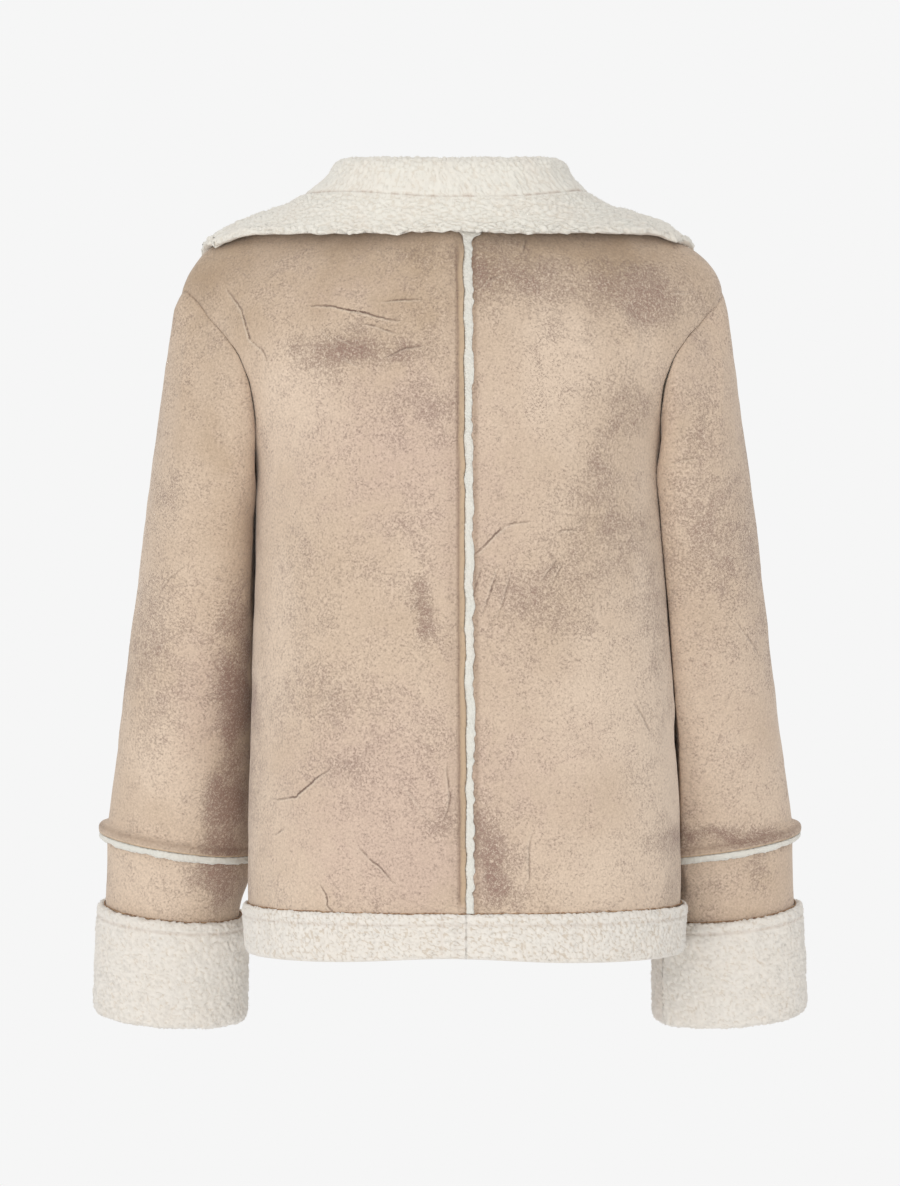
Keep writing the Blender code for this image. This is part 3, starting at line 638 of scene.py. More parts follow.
def wall_mesh(name, shown, hidden, ring, values, flip=False, hidden_slot=1):
    """A closed wall. Slot 0 is the layer that shows, 1 the hidden one and 2 the raw edge."""
    rows, columns = shown.shape[:2]
    front = np.arange(rows * columns).reshape(rows, columns)
    coarse = hidden[::SKIP, ::SKIP]
    behind = front.size + np.arange(coarse.shape[0] * coarse.shape[1]).reshape(coarse.shape[:2])
    edges = [(front[0], behind[0], ring, flip), (front[-1], behind[-1], ring, not flip)]
    if not ring:
        edges.append((front[:, 0], behind[:, 0], False, not flip))
        edges.append((front[:, -1], behind[:, -1], False, flip))
    rims = []
    for fine, far, closed, turned in edges:
        if closed:
            fine, far = np.append(fine, fine[0]), np.append(far, far[0])
        for k in range(len(far) - 1):
            face = [*fine[k * SKIP : (k + 1) * SKIP + 1], far[k + 1], far[k]]
            rims.append(face[::-1] if turned else face)
    faces = [grid_quads(front, ring, flip), grid_quads(behind, ring, not flip), np.array(rims)]
    slots = np.repeat([0, 1, 2], [len(part) for part in faces])
    slots[len(faces[0]) : len(faces[0]) + len(faces[1])] = np.ravel(hidden_slot)
    points = np.concatenate([shown.reshape(-1, 3), coarse.reshape(-1, 3)])
    both = {}
    for key, (near, far) in values.items():
        both[key] = np.concatenate([near.ravel(), far[::SKIP, ::SKIP].ravel()])
    return new_mesh(name, points, faces, slots, both)


def tube_mesh(name, loops, ring, values):
    """A solid through closed sections, one for each column, with its ends closed if it isn't a ring."""
    columns, corners = loops.shape[:2]
    index = np.arange(columns * corners).reshape(columns, corners)
    if ring:
        index = np.concatenate([index, index[:1]])
    faces = [grid_quads(index, True, flip=True)]
    if not ring:
        faces.append(index[:1])
        faces.append(index[-1:, ::-1])
    flat = {key: value.ravel() for key, value in values.items()}
    return new_mesh(name, loops.reshape(-1, 3), faces, flat_faces(*faces), flat)


print("a hidden layer has about one point in", SKIP * SKIP, "of the layer that shows")

# %% [markdown]
# ## Measuring a grid
#
# The cloth is measured along its own surface, as a tape would. That places the stitches, and
# gives the width, length and area of the flat cut.


# %% Measuring a grid
def normals_of(grid, ring=False):
    """Which way is out at each point."""
    round_it = np.roll(grid, -1, 1) - np.roll(grid, 1, 1) if ring else np.gradient(grid, axis=1)
    return unit(np.cross(np.gradient(grid, axis=0), round_it))


def along_rows(grid):
    """How far each point is down its column, from the first row."""
    steps = np.linalg.norm(np.diff(grid, axis=0), axis=-1)
    return np.concatenate([np.zeros((1, grid.shape[1])), np.cumsum(steps, axis=0)])


def cut_of(grid, ring=False):
    """The flat cut of a grid of cloth: its width, its length and its area."""
    closed = np.concatenate([grid, grid[:, :1]], axis=1) if ring else grid
    across = np.linalg.norm(np.diff(closed, axis=1), axis=-1)
    down = np.linalg.norm(np.diff(closed, axis=0), axis=-1)
    crossed = np.cross(np.diff(closed, axis=0)[:, :-1], np.diff(closed, axis=1)[:-1])
    area = np.linalg.norm(crossed, axis=-1)
    return float(across.sum(1).max()), float(down.sum(0).max()), float(area.sum())


square = stack(np.linspace(0, 0.1, 5)[None], np.linspace(0, 0.2, 5)[:, None], 0.0)
print("the cut of a flat piece of 0.1 x 0.2 m:", np.round(cut_of(square), 3).tolist())

# %% [markdown]
# ## Rubbed places
#
# Where its coating has worn, the suede is speckled with a darker mauve brown. Each place is given
# as an oval, because wear isn't random: it sits where the cloth was folded or squeezed.
# The hidden sides get similar ones.

# %% Rubbed places
# for each side the middle and the half sizes in millimetres, and how worn it is. "back" and
# "front" are read as x and z, and "left" and "right" as y and z on the outer side of that arm.
RUBBED = {
    "back": (
        (126, -107, 11, 14, 0.35), (85, -106, 24, 14, 0.60), (86, -118, 18, 12, 0.45),
        (104, -124, 12, 8, 0.40), (23, -35, 24, 9, 0.45), (23, -90, 20, 26, 0.35),
        (50, -116, 26, 9, 0.50), (12, -159, 20, 24, 0.30), (50, -158, 18, 20, 0.25),
        (-50, -44, 30, 16, 0.40), (-155, -62, 34, 20, 0.45), (-143, -151, 26, 15, 0.50),
        (-142, -176, 16, 12, 0.40), (-123, -205, 10, 12, 0.30), (-120, -246, 18, 34, 0.45),
        (-148, -264, 14, 18, 0.30), (21, -324, 7, 18, 0.75), (10, -352, 18, 16, 0.30),
        (-61, -322, 34, 26, 0.35), (98, -407, 44, 26, 0.28), (92, -462, 22, 14, 0.28),
        (14, -440, 18, 16, 0.32), (4, -503, 8, 9, 0.45), (-36, -536, 13, 22, 0.85),
        (-24, -510, 14, 30, 0.40), (-50, -560, 26, 9, 0.30), (-150, -467, 14, 10, 0.28),
        (116, -300, 34, 40, 0.16), (-92, -310, 30, 30, 0.22), (174, -333, 9, 26, 0.45),
        (180, -415, 13, 40, 0.85), (188, -490, 20, 14, 0.75), (182, -372, 11, 50, 0.45),
        (190, -455, 12, 44, 0.45), (197, -520, 15, 28, 0.50), (-22, -46, 12, 24, 0.50),
        (-54, -56, 32, 14, 0.30), (-128, -62, 44, 24, 0.22), (-172, -80, 28, 18, 0.18),
        (-174, -340, 12, 62, 0.35), (250, -366, 22, 56, 0.40), (192, -556, 19, 26, 0.85),
        (236, -232, 14, 20, 0.22), (-236, -522, 48, 8, 0.75), (-186, -520, 14, 16, 0.45),
        (-226, -276, 36, 60, 0.42), (-207, -176, 12, 18, 0.45), (-268, -553, 9, 16, 0.55),
        (-190, -560, 14, 18, 0.40),
    ),
    "front": (
        (70, -205, 24, 16, 0.45), (-84, -250, 30, 20, 0.40), (110, -330, 26, 34, 0.35),
        (-40, -420, 34, 26, 0.35), (46, -500, 24, 18, 0.50), (-128, -520, 20, 26, 0.40),
        (150, -150, 18, 22, 0.35), (-150, -140, 22, 18, 0.35), (8, -300, 10, 30, 0.40),
        (215, -300, 20, 44, 0.45), (-222, -330, 22, 40, 0.40), (250, -470, 20, 18, 0.40),
        (-240, -556, 24, 12, 0.50), (232, -556, 22, 12, 0.45),
    ),
    "left": ((-20, -170, 26, 30, 0.25), (-60, -370, 24, 40, 0.45), (-96, -556, 20, 12, 0.40)),
    "right": ((-16, -190, 24, 34, 0.30), (-52, -350, 26, 36, 0.40), (-90, -490, 22, 14, 0.45)),
}
print("rubbed places:", {side: len(rows) for side, rows in RUBBED.items()})

# %% [markdown]
# ## Pale, tan and pink clouds, and painted light
#
# Dyed suede isn't one colour. It has large soft clouds, cream where it was stretched and a deeper tan
# in other places, above all across the upper back, and a slight pink towards the bottom. Some of the
# pale places are painted light, which lightens the shade beside the sleeves and on the left band.

# %% Clouds of colour
# the same columns. Below 0 a place is a deeper tan. The long narrow places at (150, -330),
# (-166, -300) and (-190, -420), and the one at (252, -562), are painted light: they lighten the shade
# in the valleys between the body and the sleeves, and on the left band under the sleeve's rolled edge.
PALE_AND_PAINTED_LIGHT = {
    "back": (
        (214, -110, 44, 110, -0.55), (130, -50, 90, 34, -0.45), (40, -90, 60, 60, -0.10),
        (-150, -30, 60, 50, -0.55), (210, -250, 50, 50, -0.35), (-60, -30, 70, 24, -0.30),
        (136, -170, 34, 52, 0.80), (150, -330, 16, 120, 0.60), (-110, -110, 40, 40, 0.55),
        (-60, -170, 40, 60, 0.45), (-130, -420, 46, 60, 0.85), (110, -530, 52, 36, 0.70),
        (-130, -545, 44, 30, 0.80), (30, -400, 30, 40, 0.30), (-166, -300, 12, 160, 0.45),
        (252, -562, 42, 20, 0.80), (-190, -420, 14, 110, 0.60), (236, -470, 36, 44, 0.80),
        (222, -250, 26, 70, 0.60), (-230, -430, 36, 80, 0.45),
    ),
    "front": ((90, -270, 40, 60, 0.60), (-100, -380, 40, 70, 0.70), (60, -560, 50, 30, 0.60)),
    "left": ((-40, -260, 30, 60, 0.50),),
    "right": ((-60, -430, 30, 60, 0.50),),
}
PINK = {
    "back": (
        (40, -190, 60, 60, 0.70), (-60, -460, 60, 50, 0.35), (60, -470, 60, 60, 0.75),
        (30, -540, 60, 26, 0.60), (214, -400, 24, 50, 0.55), (-30, -300, 40, 60, 0.40),
        (90, -60, 40, 20, 0.25),
    ),
    "front": ((0, -420, 80, 90, 0.50), (-110, -210, 50, 50, 0.40)),
}
print("pale or tan clouds:", sum(map(len, PALE_AND_PAINTED_LIGHT.values())), "and pink:", sum(map(len, PINK.values())))

# %% [markdown]
# ## Cracks
#
# Thin cracks follow old folds, each a bent line through a few points. They are thinner than the
# mesh is fine. But the distance from a straight line changes evenly from point to point, so the
# mesh can carry that distance, and the material draws a line as thin as a hair from it.

# %% Cracks
# how dark and deep it is, and its points. Below 0 it is only a painted highlight, without a dark line.
CRACKS = {
    "back": (
        (1.00, (114, -75), (96, -76), (83, -79), (70, -82), (51, -88), (43, -89)),
        (0.75, (70, -91), (58, -94), (46, -99)), (0.70, (56, -72), (41, -71), (25, -71)),
        (0.65, (52, -119), (36, -112), (23, -110)),
        (0.90, (186, -59), (175, -75), (170, -89), (167, -102), (155, -112), (152, -120)),
        (-0.70, (98, -101), (86, -105), (73, -112)), (-0.65, (88, -119), (73, -127)),
        (-0.55, (104, -97), (96, -104), (92, -113)),
        (0.85, (-17, -283), (-24, -278), (-35, -267), (-45, -258), (-54, -255), (-64, -254)),
        (0.50, (-87, -264), (-92, -261), (-103, -261)), (0.60, (-41, -291), (-34, -309), (-28, -328)),
        (0.50, (-26, -292), (-20, -310), (-16, -330)), (0.45, (-50, -297), (-45, -315), (-40, -332)),
        (0.50, (-88, -286), (-80, -296), (-74, -304)), (0.40, (-94, -286), (-88, -297), (-84, -308)),
        (1.00, (143, -484), (128, -481), (121, -474), (111, -465), (100, -458)),
        (-0.55, (38, -468), (29, -481), (15, -499)), (0.60, (2, -454), (0, -479), (1, -488), (5, -498)),
        (0.70, (74, -521), (64, -532), (55, -540), (46, -549)),
        (0.80, (106, -553), (102, -562), (101, -570), (96, -575)),
        (0.50, (-68, -509), (-65, -519), (-65, -535), (-65, -547), (-60, -556)),
        (0.55, (145, -513), (138, -508)), (0.60, (-63, -21), (-61, -29)),
        (0.50, (-25, -61), (-33, -54), (-42, -50)), (-0.80, (-185, -61), (-202, -60)),
        (0.50, (25, -319), (31, -328)), (0.45, (-152, -404), (-160, -415), (-165, -427)),
        (0.40, (-243, -336), (-254, -352), (-265, -368)),
        (0.40, (-181, -205), (-196, -201), (-210, -199)), (0.35, (222, -290), (236, -300), (246, -314)),
    ),
    "front": (
        (0.80, (60, -230), (76, -238), (92, -240), (110, -248)),
        (0.60, (-96, -300), (-82, -312), (-70, -316)),
        (0.70, (-130, -470), (-118, -480), (-104, -484), (-92, -494)),
        (-0.60, (44, -340), (58, -352), (66, -366)), (0.60, (20, -530), (32, -540), (40, -556)),
        (0.50, (120, -420), (128, -440), (130, -456)), (0.50, (-30, -250), (-38, -270), (-36, -288)),
        (0.45, (226, -300), (238, -312), (246, -316)), (0.45, (-214, -350), (-226, -360), (-238, -362)),
    ),
    "left": ((0.50, (-44, -300), (-30, -312), (-12, -316)),),
    "right": ((0.50, (-48, -280), (-34, -290), (-14, -292)),),
}
print("cracks:", {side: len(rows) for side, rows in CRACKS.items()})

# %% [markdown]
# ## Soft folds
#
# The cloth is thick, so it makes few folds, and these are broad and low. Some have a ridge beside
# them.

# %% Soft folds
# half the width and the depth in millimetres, and its points. Below 0 it is a ridge.
FOLDS = {
    "back": (
        (11, 2.2, (-157, -60), (-160, -98), (-165, -136)),
        (7, -1.4, (-148, -66), (-152, -98), (-158, -132)),
        (12, 1.6, (194, -58), (178, -86), (158, -112)), (9, 1.0, (116, -80), (84, -84), (44, -94)),
        (7, -0.8, (116, -70), (84, -74), (50, -82)), (14, 1.4, (146, -492), (122, -482), (98, -460)),
        (12, 1.2, (78, -518), (60, -536), (44, -552)), (16, 1.0, (-18, -300), (-40, -266), (-66, -258)),
        (9, 0.8, (-34, -290), (-28, -340), (-34, -380)), (30, 1.2, (20, -200), (60, -260), (70, -340)),
        (26, -1.0, (-60, -400), (-100, -440), (-150, -450)),
        (9, 1.2, (104, -548), (100, -568), (96, -580)),
        (30, 1.6, (226, -250), (206, -300), (184, -330)),
        (22, -1.2, (250, -300), (226, -340), (196, -372)),
        (26, 1.2, (-176, -420), (-210, -450), (-250, -470)),
        (20, 1.0, (-186, -200), (-206, -214), (-236, -232)),
    ),
    "front": (
        (14, 1.6, (60, -226), (86, -244), (116, -252)),
        (16, 1.4, (-64, -316), (-90, -306), (-120, -310)),
        (14, 1.4, (-134, -472), (-112, -484), (-88, -498)),
        (22, -1.2, (50, -400), (90, -440), (140, -450)),
        (24, 1.4, (214, -280), (230, -310), (252, -322)),
        (24, 1.4, (-208, -340), (-226, -360), (-246, -366)),
    ),
    "left": ((20, 1.4, (-56, -296), (-34, -316), (-6, -320)),),
    "right": ((20, 1.4, (-58, -276), (-34, -292), (-4, -296)),),
}
print("soft folds:", {side: len(rows) for side, rows in FOLDS.items()})

# %% [markdown]
# ## Reading those places
#
# A point counts for a side only if it faces that side, so that a mark on the back doesn't come
# through to the front. The sleeves hang further forward, so their middle is looked up by height.

# %% Reading those places
SLEEVES_FROM = 172  # in x
SLEEVE_MIDDLE_Z, SLEEVE_MIDDLE_Y = (-690, -540, -220, 0), (-96, -76, -8, 0)
FACING_FROM, FACING_OVER = -14, 22
OUTER_ARM_FROM, OUTER_ARM_OVER = 235, 20
PATCH_SOFTNESS = 1.6


def facing(points, side):
    """Each point on the plane that the side is read on, and how much it faces that side."""
    x, y, z = np.moveaxis(points, -1, 0) * 1000
    sleeve_middle = np.interp(z, SLEEVE_MIDDLE_Z, SLEEVE_MIDDLE_Y)
    middle = np.where(np.abs(x) < SLEEVES_FROM, 0, sleeve_middle)
    if side in ("back", "front"):
        toward = (y - middle) * (1 if side == "back" else -1)
        return np.stack([x, z], axis=-1), ease((toward - FACING_FROM) / FACING_OVER)
    outward = x * (1 if side == "left" else -1) - OUTER_ARM_FROM
    return np.stack([y, z], axis=-1), ease(outward / OUTER_ARM_OVER)


def patches(points, places):
    """How much of the places of one table there is at each point."""
    total = np.zeros(points.shape[:-1])
    for side, rows in places.items():
        flat, shown = facing(points, side)
        for x, z, half_x, half_z, strength in rows:
            away = np.hypot((flat[..., 0] - x) / half_x, (flat[..., 1] - z) / half_z)
            total += strength * shown * np.exp(-(away**2) / PATCH_SOFTNESS)
    return total


def to_line(flat, line):
    """Distance from a bent line, below 0 on one side of it, and 0 to 1 along it."""
    line = np.array(line, float)
    lengths = np.linalg.norm(np.diff(line, axis=0), axis=1)
    along_start = np.concatenate([[0], np.cumsum(lengths)])
    best = np.full(flat.shape[:-1], 1e9)  # further than anything
    signed, along = best.copy(), np.zeros_like(best)
    for k in range(len(lengths)):
        run = (line[k + 1] - line[k]) / lengths[k]
        offset = flat - line[k]
        reach = offset @ run
        inside = np.clip(reach, 0, lengths[k])
        away = np.linalg.norm(offset - inside[..., None] * run, axis=-1)
        cross = run[0] * offset[..., 1] - run[1] * offset[..., 0]
        closer = away < best
        best = np.where(closer, away, best)
        signed = np.where(closer, np.where(cross >= 0, away, -away), signed)
        along = np.where(closer, (along_start[k] + inside) / along_start[-1], along)
    return signed, along


sample = np.array([[0.100, 0.140, -0.082], [0.100, -0.140, -0.082]])
print("how worn a point of the back is, and the front behind it:", np.round(patches(sample, RUBBED), 2))

# %% [markdown]
# ## Folds and cracks on the cloth
#
# Both fade out at their two ends, as real ones do. Where two cracks are close together, a point
# takes the nearer one, and its strength fades with distance, so that no false line shows between.

# %% Folds and cracks on the cloth
FOLD_GAIN = 1.4  # tried until the folds looked right
NO_CRACK = 9.0  # further than this from a crack it draws nothing
CRACK_FADE_FROM, CRACK_FADE_OVER = 2.2, 1.6


def fading(along, end):
    """1 along the middle of a line, and little at its two ends."""
    return np.sin(math.pi * (end + (1 - 2 * end) * along))


def press_folds(points):
    """How far the soft folds press the cloth in, in metres."""
    total = np.zeros(points.shape[:-1])
    for side, rows in FOLDS.items():
        flat, shown = facing(points, side)
        for half_width, depth, *line in rows:
            signed, along = to_line(flat, line)
            uneven = 0.75 + 0.5 * np.sin(along * 9 + line[0][0])
            across = shown * bump(signed, half_width)
            total += FOLD_GAIN * depth / 1000 * across * fading(along, 0.08) * uneven
    return total


def crack_lines(points):
    """Distance in millimetres from the nearest crack, and how strong it is there."""
    nearest = np.full(points.shape[:-1], NO_CRACK)
    strength = np.zeros(points.shape[:-1])
    for side, rows in CRACKS.items():
        flat, shown = facing(points, side)
        for depth, *line in rows:
            signed, along = to_line(flat, line)
            closer = (np.abs(signed) < np.abs(nearest)) & (shown > 0.5)
            nearest = np.where(closer, signed, nearest)
            strength = np.where(closer, depth * fading(along, 0.12), strength)
    return nearest, strength * (1 - ease((np.abs(nearest) - CRACK_FADE_FROM) / CRACK_FADE_OVER))


print("soft folds press those two points in by, in mm:", np.round(press_folds(sample) * 1000, 2))

# %% [markdown]
# ## Colours and a helper for nodes
#
# Colours are picked as sRGB hex, and the shader needs linear values. One function adds a node,
# sets it and links it, so that a material reads top down.
#
# Some sockets have the same name more than once, so they are called by number. A Math node works
# on 0, 1 and 2. A Map Range node takes 0 from the range 1 to 2 to the range 3 to 4. A colour Mix
# lays 7 over 6, and 0 says how much of it.


# %% Helpers for materials
def linear(hex_colour):
    """An sRGB hex colour in linear light, with full alpha."""
    values = [int(hex_colour[k : k + 2], 16) / 255 for k in (1, 3, 5)]
    return tuple(c / 12.92 if c <= 0.04045 else ((c + 0.055) / 1.055) ** 2.4 for c in values) + (1.0,)


def add(tree, kind, inputs=None, output=0, **settings):
    """Adds a node, sets it, links or fills its inputs, and gives one of its outputs."""
    node = tree.nodes.new("ShaderNode" + kind)
    for key, value in settings.items():
        setattr(node, key, value)
    for key, value in (inputs or {}).items():
        if isinstance(value, bpy.types.NodeSocket):
            tree.links.new(value, node.inputs[key])
        else:
            node.inputs[key].default_value = value
    return node.outputs[output] if node.outputs else None


def new_material(name):
    """An empty material and its node tree."""
    material = bpy.data.materials.new(name)
    material.use_nodes = True
    material.node_tree.nodes.clear()
    return material, material.node_tree


MULTIPLY, PLUS, TIMES_PLUS = ({"operation": name} for name in ("MULTIPLY", "ADD", "MULTIPLY_ADD"))
SUBTRACT, DISTANCE = {"operation": "SUBTRACT"}, {"operation": "ABSOLUTE"}
COLOURS = {"data_type": "RGBA", "output": 2}
SOFT = {"interpolation_type": "SMOOTHSTEP"}
print("a mid grey in linear light:", [round(v, 3) for v in linear("#808080")[:3]])

# %% [markdown]
# ## Suede
#
# Faux suede is a dense polyester microfibre, brushed to a nap of less than 0.3 mm, with a crackled
# coating. Its colour is mixed from the places set by hand and from six noises. A noise's scale is
# the number of its features to a metre, so it follows from the size of the real thing. The dark
# strokes are drawn at 1.8 mm, because finer ones would blur to a plain grey.

# %% Suede colours and noises
SUEDE_DEEP = "#A68F76"
SUEDE_TAN = "#C0AB96"
SUEDE_CREAM = "#CCB8A4"
SUEDE_PINK = "#BFA898"
SUEDE_FLECK = "#79584F"
SUEDE_VEIL = "#9A8277"
SUEDE_LIGHT = "#D6C7B4"
CRACK_DARK = "#685044"
SEAM_SHADE = "#6E5442"
RAW_TAN = "#BAA287"
# name, features to a metre, detail, roughness, distortion
SUEDE_NOISES = (
    ("cloud", 14, 3, 0.5, 0.3), ("patchy", 52, 6, 0.70, 0.4), ("fleck", 560, 3, 0.6, 1.3),
    ("vein", 120, 4, 0.6, 0.8), ("grain", 520, 3, 0.7, 0.3), ("nap", 1300, 2, 0.5, 0.0),
)
SUEDE_PLACES = ("pale", "pink", "rubbed", "seam", "raw", "crack_distance", "crack_depth")


def suede_inputs(tree):
    """What the suede is mixed from: the attributes of the mesh, and the noises."""
    where = add(tree, "TexCoord", output="Object")
    at = {key: add(tree, "Attribute", output="Fac", attribute_name=key) for key in SUEDE_PLACES}
    noise = {}
    for key, scale, detail, roughness, distortion in SUEDE_NOISES:
        inputs = {"Vector": where, "Scale": scale, "Detail": detail}
        inputs.update({"Roughness": roughness, "Distortion": distortion})
        noise[key] = add(tree, "TexNoise", inputs)
    return at, noise


def millimetres(features_to_a_metre):
    return round(1000 / features_to_a_metre, 1)


print("suede noises in mm:", {key: millimetres(scale) for key, scale, *_ in SUEDE_NOISES})

# %% [markdown]
# ## Whole cloth
#
# Where it isn't worn, the suede is tan with large soft clouds. Its nap lies this way and that,
# which gives a fine grain of light and dark.

# %% Whole cloth
TAN_FROM, TAN_TO = -0.25, 0.85
CREAM_FROM, CREAM_TO = 0.7, 1.75
PINK_FROM, PINK_TO, PINK_MOST = 0.5, 1.5, 0.9
GRAIN_DARK, GRAIN_LIGHT = 0.86, 1.15


def whole_cloth(tree, at, noise, rosy):
    """Tan with cream and pink clouds, and the grain of the nap."""
    # the pale places, some of them painted light, take the cloth from tan towards cream
    pale = add(tree, "Math", {0: noise["cloud"], 1: 1.7, 2: at["pale"]}, **TIMES_PLUS)
    tan = add(tree, "MapRange", {0: pale, 1: TAN_FROM, 2: TAN_TO}, **SOFT)
    colour = add(tree, "Mix", {0: tan, 6: linear(SUEDE_DEEP), 7: linear(SUEDE_TAN)}, **COLOURS)
    creamy = add(tree, "MapRange", {0: pale, 1: CREAM_FROM, 2: CREAM_TO}, **SOFT)
    colour = add(tree, "Mix", {0: creamy, 6: colour, 7: linear(SUEDE_CREAM)}, **COLOURS)
    pinkish = add(tree, "Math", {0: noise["patchy"], 1: 1.1, 2: at["pink"]}, **TIMES_PLUS)
    reach = {0: pinkish, 1: PINK_FROM - rosy, 2: PINK_TO - rosy, 4: PINK_MOST}
    pinkish = add(tree, "MapRange", reach, **SOFT)
    colour = add(tree, "Mix", {0: pinkish, 6: colour, 7: linear(SUEDE_PINK)}, **COLOURS)
    reach = {0: noise["grain"], 1: 0.3, 2: 0.7, 3: GRAIN_DARK, 4: GRAIN_LIGHT}
    grain = add(tree, "MapRange", reach)
    return add(tree, "Mix", {0: 1.0, 6: colour, 7: grain}, blend_type="MULTIPLY", **COLOURS)


print("the grain takes the light from", GRAIN_DARK, "to", GRAIN_LIGHT, "times the cloth's own")

# %% [markdown]
# ## Worn cloth
#
# Rubbed places are thick with small dark strokes. A noise passes through its middle value along
# thin winding lines. Its distance from that value is cut at a level that rises where the cloth is
# worn, which makes the strokes thicker. A faint veil joins them, with pale specks in between.

# %% Worn cloth
WORN_VEIL = (1.22, 2.2)  # how worn the cloth is where the veil starts and where it is full
VEIL_MOST = 0.30
WORN_STROKES = (0.9, 2.3)
STROKE_LEVELS = (0.175, 0.41)  # the cut, from hardly worn to rubbed through
WORN_DARKER = (1.0, 2.1)
STROKE_DARKNESS = (0.24, 0.64)
WORN_SPECKS = (1.1, 1.7)
SPECK_AMOUNTS = (0.12, 1.0)


def by_wear(tree, worn, worn_range, result_range):
    """A value that follows how worn the cloth is."""
    (low, high), (least, most) = worn_range, result_range
    return add(tree, "MapRange", {0: worn, 1: low, 2: high, 3: least, 4: most})


def worn_cloth(tree, at, noise, colour):
    """The colour with its dark strokes, and where the strokes are."""
    worn = add(tree, "Math", {0: noise["patchy"], 1: 1.5, 2: at["rubbed"]}, **TIMES_PLUS)
    worn = add(tree, "Math", {0: noise["cloud"], 1: 0.7, 2: worn}, **TIMES_PLUS)
    veil = {0: worn, 1: WORN_VEIL[0], 2: WORN_VEIL[1], 4: VEIL_MOST}
    veil = add(tree, "MapRange", veil, **SOFT)
    colour = add(tree, "Mix", {0: veil, 6: colour, 7: linear(SUEDE_VEIL)}, **COLOURS)
    from_middle = add(tree, "Math", {0: noise["fleck"], 1: 0.5}, **SUBTRACT)
    from_middle = add(tree, "Math", {0: from_middle}, **DISTANCE)
    uneven = add(tree, "Math", {0: noise["grain"], 1: 0.45}, **MULTIPLY)
    stroke = add(tree, "Math", {0: from_middle, 1: 1.6, 2: uneven}, **TIMES_PLUS)
    level = by_wear(tree, worn, WORN_STROKES, STROKE_LEVELS)
    above = add(tree, "Math", {0: level, 1: stroke}, **SUBTRACT)
    flecks = add(tree, "MapRange", {0: above, 1: -0.02, 2: 0.04}, **SOFT)
    strength = by_wear(tree, worn, WORN_DARKER, STROKE_DARKNESS)
    dark = add(tree, "Math", {0: flecks, 1: strength}, **MULTIPLY)
    colour = add(tree, "Mix", {0: dark, 6: colour, 7: linear(SUEDE_FLECK)}, **COLOURS)
    specks = add(tree, "MapRange", {0: noise["grain"], 1: 0.54, 2: 0.66, 4: 0.45}, **SOFT)
    pale_amount = by_wear(tree, worn, WORN_SPECKS, SPECK_AMOUNTS)
    specks = add(tree, "Math", {0: specks, 1: pale_amount}, **MULTIPLY)
    return add(tree, "Mix", {0: specks, 6: colour, 7: linear(SUEDE_LIGHT)}, **COLOURS), flecks


print("a stroke is up to", STROKE_DARKNESS[1], "of", SUEDE_FLECK, "over the cloth's own colour")

# %% [markdown]
# ## Cracked cloth
#
# A crack is a dark line that wanders and breaks up, with a painted highlight on one side of it, where
# the broken coating stands up. Both are drawn from the mesh's distance, and noises make it wander.

# %% Cracked cloth
LINE_MIDDLE = 0.8  # in millimetres, as the rest of these
LINE_FULL, LINE_GONE = 0.2, 1.1
EDGE_MIDDLE = 2.5
EDGE_FULL, EDGE_GONE = 0.2, 1.2
EDGE_HIGHLIGHT = 0.42
LINE_DARK = 0.9


def cracked_cloth(tree, at, noise, colour):
    """The colour with its cracks, where they are cut in, and where their painted highlights are."""
    wander = add(tree, "Math", {0: noise["patchy"], 1: 4.0, 2: -2.0}, **TIMES_PLUS)
    wander = add(tree, "Math", {0: noise["fleck"], 1: 1.6, 2: wander}, **TIMES_PLUS)
    away = add(tree, "Math", {0: at["crack_distance"], 1: wander}, **PLUS)
    near = add(tree, "Math", {0: away, 1: LINE_MIDDLE}, **SUBTRACT)
    near = add(tree, "Math", {0: near}, **DISTANCE)
    line = add(tree, "MapRange", {0: near, 1: LINE_FULL, 2: LINE_GONE, 3: 1.0, 4: 0.0}, **SOFT)
    breaks = add(tree, "MapRange", {0: noise["vein"], 1: 0.36, 2: 0.5, 3: 0.2, 4: 1.0}, **SOFT)
    line = add(tree, "Math", {0: line, 1: breaks}, **MULTIPLY)
    # the light edge beside a crack is a painted highlight
    beside = add(tree, "Math", {0: away, 1: EDGE_MIDDLE}, **SUBTRACT)
    beside = add(tree, "Math", {0: beside}, **DISTANCE)
    size = add(tree, "Math", {0: at["crack_depth"]}, **DISTANCE)
    light = {0: beside, 1: EDGE_FULL, 2: EDGE_GONE, 3: EDGE_HIGHLIGHT, 4: 0.0}
    light = add(tree, "MapRange", light, **SOFT)
    light = add(tree, "Math", {0: light, 1: size}, **MULTIPLY)
    colour = add(tree, "Mix", {0: light, 6: colour, 7: linear(SUEDE_LIGHT)}, **COLOURS)
    cut = add(tree, "Math", {0: line, 1: at["crack_depth"]}, **MULTIPLY)
    darkness = add(tree, "Math", {0: cut, 1: LINE_DARK}, use_clamp=True, **MULTIPLY)
    colour = add(tree, "Mix", {0: darkness, 6: colour, 7: linear(CRACK_DARK)}, **COLOURS)
    return colour, cut, light


print("a crack's line is", round(2 * LINE_GONE, 1), "mm wide, with its soft edges")

# %% [markdown]
# ## The suede material
#
# The raw edges are an orange tan. The seam value darkens the cloth with the dirt that seams hold, and
# with painted shade under the collar, beside the back's strip of pile, in the lap's groove, under the
# sleeves' rolled edges and at the top of the bands. The bump lets the strokes and cracks lie deeper.
# Suede has no gloss, but it glows softly at grazing angles, from the sheen.

# %% Suede material
SEAM_DIRT_AND_SHADE = 0.6
SUEDE_BUMP = {"Distance": 0.0008, "Strength": 0.7}
SUEDE_SURFACE = {
    "Roughness": 0.92, "Specular IOR Level": 0.15, "Sheen Weight": 0.2, "Sheen Roughness": 0.5,
}


